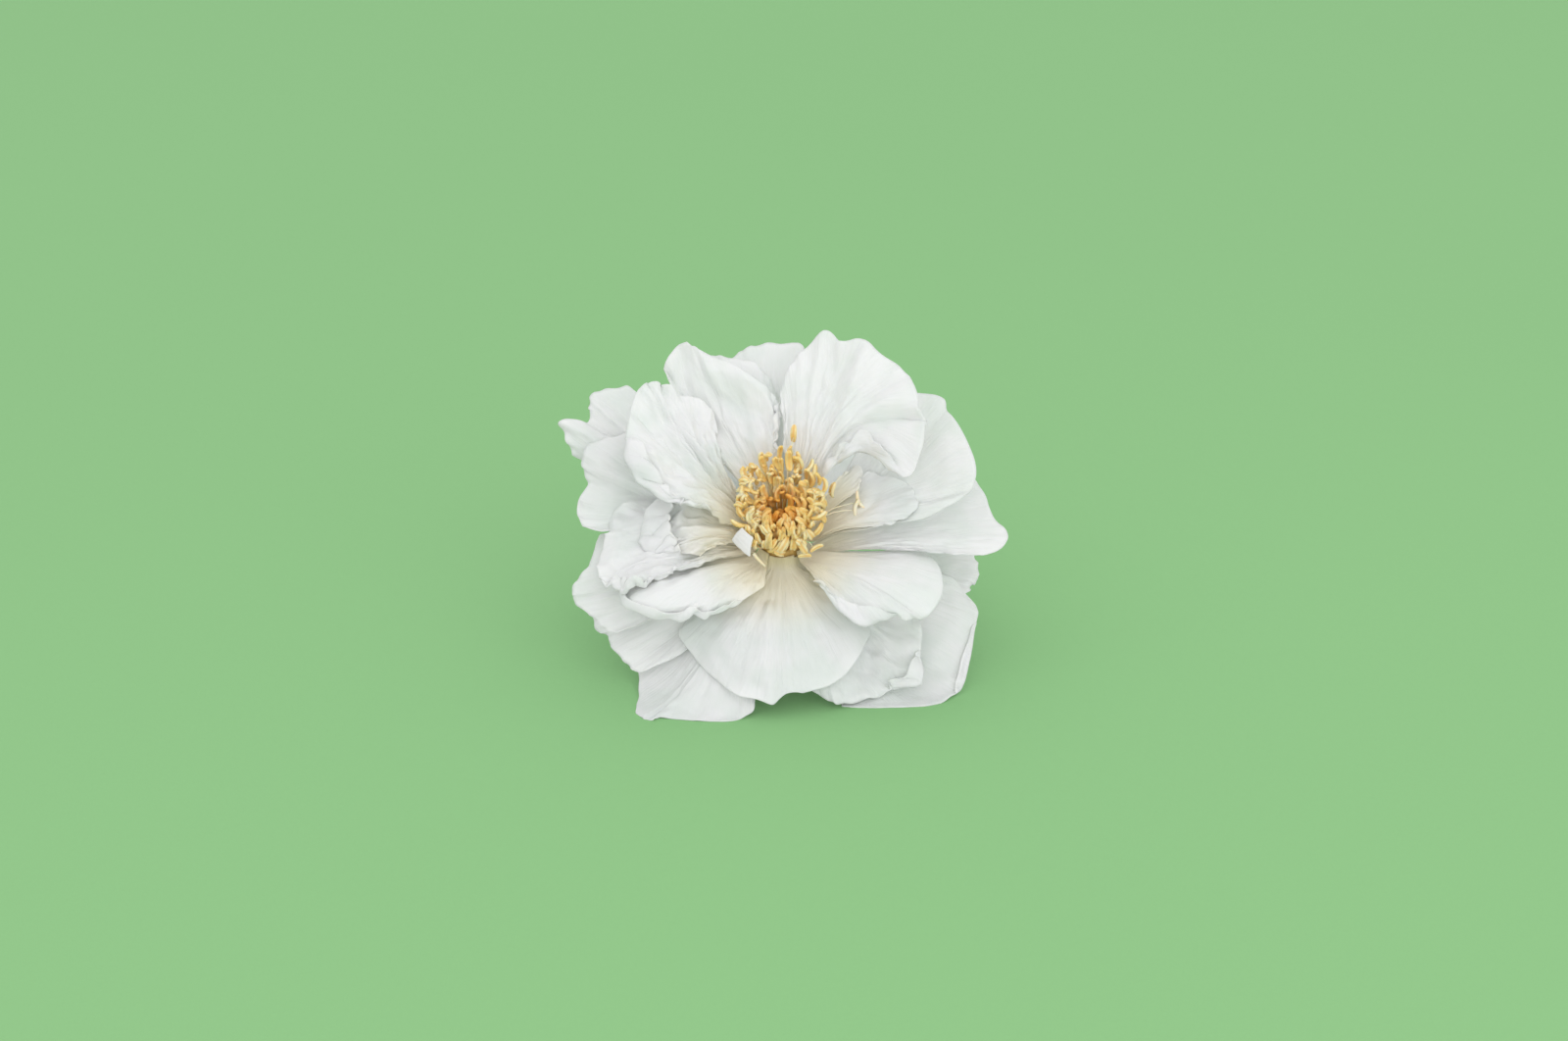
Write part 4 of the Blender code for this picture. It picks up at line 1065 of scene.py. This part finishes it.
# styles: the dark tuft in the middle, set out in a spiral
styleShape = dict(count=34, turn=137.5, footRadius=1.6, footHeight=0.6, radius=2.0, base=0.8,
                  height=5.2, droop=0.25, uneven=(-0.5, 0.3), stalk=0.16, head=0.42,
                  headSize=(0.8, 1.1), headFlat=0.6, seed=5)
shape = styleShape
dice = random.Random(shape["seed"])
styles = bmesh.new()
for index in range(shape["count"]):
    spread = math.sqrt((index + 0.5) / shape["count"])
    azimuth = index * shape["turn"]
    foot = ringPoint(azimuth, shape["footRadius"] * spread, shape["footHeight"])
    height = shape["height"] * (1 - shape["droop"] * spread)
    tip = ringPoint(azimuth, shape["radius"] * spread,
                    shape["base"] + height + dice.uniform(*shape["uneven"]))
    addTube(styles, [foot, foot.lerp(tip, 0.4), foot.lerp(tip, 0.75), tip], shape["stalk"])
    made = bmesh.ops.create_uvsphere(styles, u_segments=7, v_segments=5,
                                     radius=shape["head"] * dice.uniform(*shape["headSize"]))
    for vert in made["verts"]:
        vert.co = toWorld @ (tip + Vector((vert.co.x, vert.co.y, vert.co.z * shape["headFlat"])))
bmesh.ops.recalc_face_normals(styles, faces=styles.faces)
piece = addPiece("styleTuft", styles, styleOrange)
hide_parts("styles")
print("styles ready")


# small white flake against the stamens: a square, domed and wider at one side, and its stalk
flakeShape = dict(size=3.8, narrow=0.8, taper=(0.75, 0.5), crown=0.9, azimuth=216.0, radius=7.6,
                  height=4.4, lean=62.0, steps=12, thickness=0.3, smooth=1, veinSize=0.4, veinStart=2.0,
                  stalk=[(-4.5, -5.6, 2.6), (-3.7, -6.1, 1.5), (-2.6, -6.6, 0.6)], stalkRadius=0.3,
                  stalkSides=7)
shape = flakeShape
cells = shape["steps"] + 1
spots = np.linspace(-0.5, 0.5, cells)
turned = (Matrix.Rotation(math.radians(shape["azimuth"]), 4, "Z")
          @ Matrix.Rotation(math.radians(shape["lean"]), 4, "Y")).to_3x3()
centre = ringPoint(shape["azimuth"], shape["radius"], shape["height"])
flake = np.zeros((cells, cells, 3))
for i, x in enumerate(spots):
    for j, y in enumerate(spots):
        wide = shape["taper"][0] + shape["taper"][1] * (x + 0.5)
        drop = shape["crown"] * (x * x + y * y)
        local = Vector((x * shape["narrow"] * shape["size"], y * shape["size"] * wide,
                        -drop))
        flake[i, j] = centre + turned @ local
size, start = shape["veinSize"], shape["veinStart"]
uv = np.stack(np.meshgrid(spots * size, start + spots * size, indexing="ij"), axis=-1)
flakeStalk = bmesh.new()
addTube(flakeStalk, arc(*(Vector(point) for point in shape["stalk"]), (0, 0.25, 0.5, 0.75, 1)),
        shape["stalkRadius"], shape["stalkSides"])
bmesh.ops.recalc_face_normals(flakeStalk, faces=flakeStalk.faces)
for piece in (sheetPiece("whiteFlake", flake, uv, petalWhite, shape["thickness"],
                         shape["smooth"]),
              addPiece("flakeStalk", flakeStalk, filamentPale)):
    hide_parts("petaloid_flake")
print("flake ready")


# sepals, folded back under the petals; outline: degrees from the middle, share of the length
sepalShape = dict(count=5, first=18, length=13.0, thickness=0.45, cadThickness=0.6, ribs=8, columns=24,
                  rows=30, ridge=0.25, ridgeWidth=0.07,
                  outline=((-30, 0.35), (-18, 0.74), (0, 1.0), (18, 0.74), (30, 0.35)))
shape = sepalShape
for number in range(shape["count"]):
    centre = shape["first"] + number * 360 / shape["count"]
    margin = [(centre + offset, shape["length"] * share) for offset, share in shape["outline"]]
    spec = dict(level=-6.6, lean=(116, 156, 176), middle=centre, claw=0.8, ruffle=0.0, margin=margin)
    grid = keepOffHip(ribGrid(spec, shape["ribs"]), shape["cadThickness"] + flower["touchGap"])
    place, along = (np.linspace(0, 1, shape[key] + 1) for key in ("columns", "rows"))
    surface = np.einsum("rj,cjk->crk", splineWeights(along, grid.shape[1]), ribsAt(grid, place))
    normal = frameOf(surface)[1]
    ridge = shape["ridge"] * np.exp(-((place - 0.5) / shape["ridgeWidth"]) ** 2)
    surface = surface - normal * ridge[:, None, None]
    uv = np.stack(np.meshgrid(place, along, indexing="ij"), axis=-1)
    piece = sheetPiece(f"sepal{number + 1}", surface, uv, sepalGreen, shape["thickness"], 0)
    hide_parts(f"sepal_{number + 1}")
print("sepals ready")


def lathe(profile, steps):
    bm = bmesh.new()
    verts = [bm.verts.new((radius, 0, height)) for radius, height in profile]
    edges = [bm.edges.new(pair) for pair in zip(verts, verts[1:])]
    bmesh.ops.spin(bm, geom=verts + edges, cent=(0, 0, 0), axis=(0, 0, 1), angle=2 * math.pi,
                   steps=steps, use_merge=True)
    bmesh.ops.remove_doubles(bm, verts=bm.verts, dist=0.01)
    bmesh.ops.recalc_face_normals(bm, faces=bm.faces)
    return bm


# the hip swells into slight lobes below its neck; the stem end keeps its CAD form
hip = lathe(hipShape["profile"], hipShape["steps"])
for vert in hip.verts:
    around = math.atan2(vert.co.y, vert.co.x)
    below = ease(-(vert.co.z + hipShape["lobeTop"]) / hipShape["lobeFade"])
    swell = 1 + hipShape["swell"] * math.cos(hipShape["lobes"] * around) * below
    vert.co.x *= swell
    vert.co.y *= swell
bmesh.ops.transform(hip, matrix=toWorld, verts=hip.verts)
piece = addPiece("roseHip", hip, hipGreen)
addSmoothing(piece, hipShape["smooth"])
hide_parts("hip")
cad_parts["stem_end"].data.materials.clear()
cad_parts["stem_end"].data.materials.append(stemBark)
print("hip and stem ready")


# floor, lamps and camera
room = dict(floor=(0.275, 0.565, 0.238), shade=0.97, bounce=(0.56, 0.64, 0.55), size=14.0,
            roughness=0.85, toneScale=6.0, fibreScale=900.0, relief=0.0002, worldLight=0.88)
bm = bmesh.new()
bmesh.ops.create_grid(bm, x_segments=1, y_segments=1, size=room["size"] / 2,
                      matrix=Matrix.Translation((0, 0, floorHeight)))
mesh = bpy.data.meshes.new("paleFloor")
bm.to_mesh(mesh)
bm.free()
floor = bpy.data.objects.new("paleFloor", mesh)
bpy.context.scene.collection.objects.link(floor)
f = Finish("palePaper", Roughness=room["roughness"])
tone = f.noise(f.coordinates(), room["toneScale"], 2.0)
seen = f.mix(tone, room["floor"], [room["shade"] * share for share in room["floor"]])
direct = f.node("ShaderNodeLightPath", {}, {}, "Is Camera Ray")
f.feed("Base Color", f.mix(direct, room["bounce"], seen))
f.feed("Normal", f.bump(f.noise(f.coordinates(), room["fibreScale"], 3.0), room["relief"], 0.3))
mesh.materials.append(f.material)

world = bpy.data.worlds.new("studio")
bpy.context.scene.world = world
world.use_nodes = True
background = world.node_tree.nodes["Background"]
background.inputs["Color"].default_value = (1.0, 1.0, 1.0, 1.0)
background.inputs["Strength"].default_value = room["worldLight"]

lamps = dict(top=dict(place=(-0.20, -0.30, 0.62), size=1.0, power=0.4),
             front=dict(place=(0.25, -0.68, 0.24), size=0.9, power=1.9))
for name, lamp in lamps.items():
    data = bpy.data.lights.new(name, "AREA")
    data.shape = "SQUARE"
    data.size = lamp["size"]
    data.energy = lamp["power"]
    light = bpy.data.objects.new(name, data)
    light.location = lamp["place"]
    light.rotation_euler = (Vector(lamp["place"]) - flowerBase).to_track_quat("Z", "Y").to_euler()
    bpy.context.scene.collection.objects.link(light)
print("floor and lamps ready")

cameraView = dict(elevation=25.0, roll=1.5, lens=85.0, sensor=36.0, nearest=0.01, distance=0.5968,
                  right=-0.00047, up=-0.003)
tilt, roll = math.radians(cameraView["elevation"]), math.radians(cameraView["roll"])
ahead = Vector((0, math.cos(tilt), -math.sin(tilt)))
levelUp = Vector((0, math.sin(tilt), math.cos(tilt)))
right = Vector((1, 0, 0)) * math.cos(roll) - levelUp * math.sin(roll)
up = Vector((1, 0, 0)) * math.sin(roll) + levelUp * math.cos(roll)
cameraData = bpy.data.cameras.new("camera")
cameraData.lens = cameraView["lens"]
cameraData.sensor_width = cameraView["sensor"]
cameraData.clip_start = cameraView["nearest"]
camera = bpy.data.objects.new("camera", cameraData)
camera.matrix_world = Matrix((right, up, -ahead)).transposed().to_4x4()
camera.location = (flowerBase - ahead * cameraView["distance"] - right * cameraView["right"]
                   - up * cameraView["up"])
bpy.context.scene.collection.objects.link(camera)
bpy.context.scene.camera = camera
bpy.context.scene.view_settings.view_transform = "Standard"
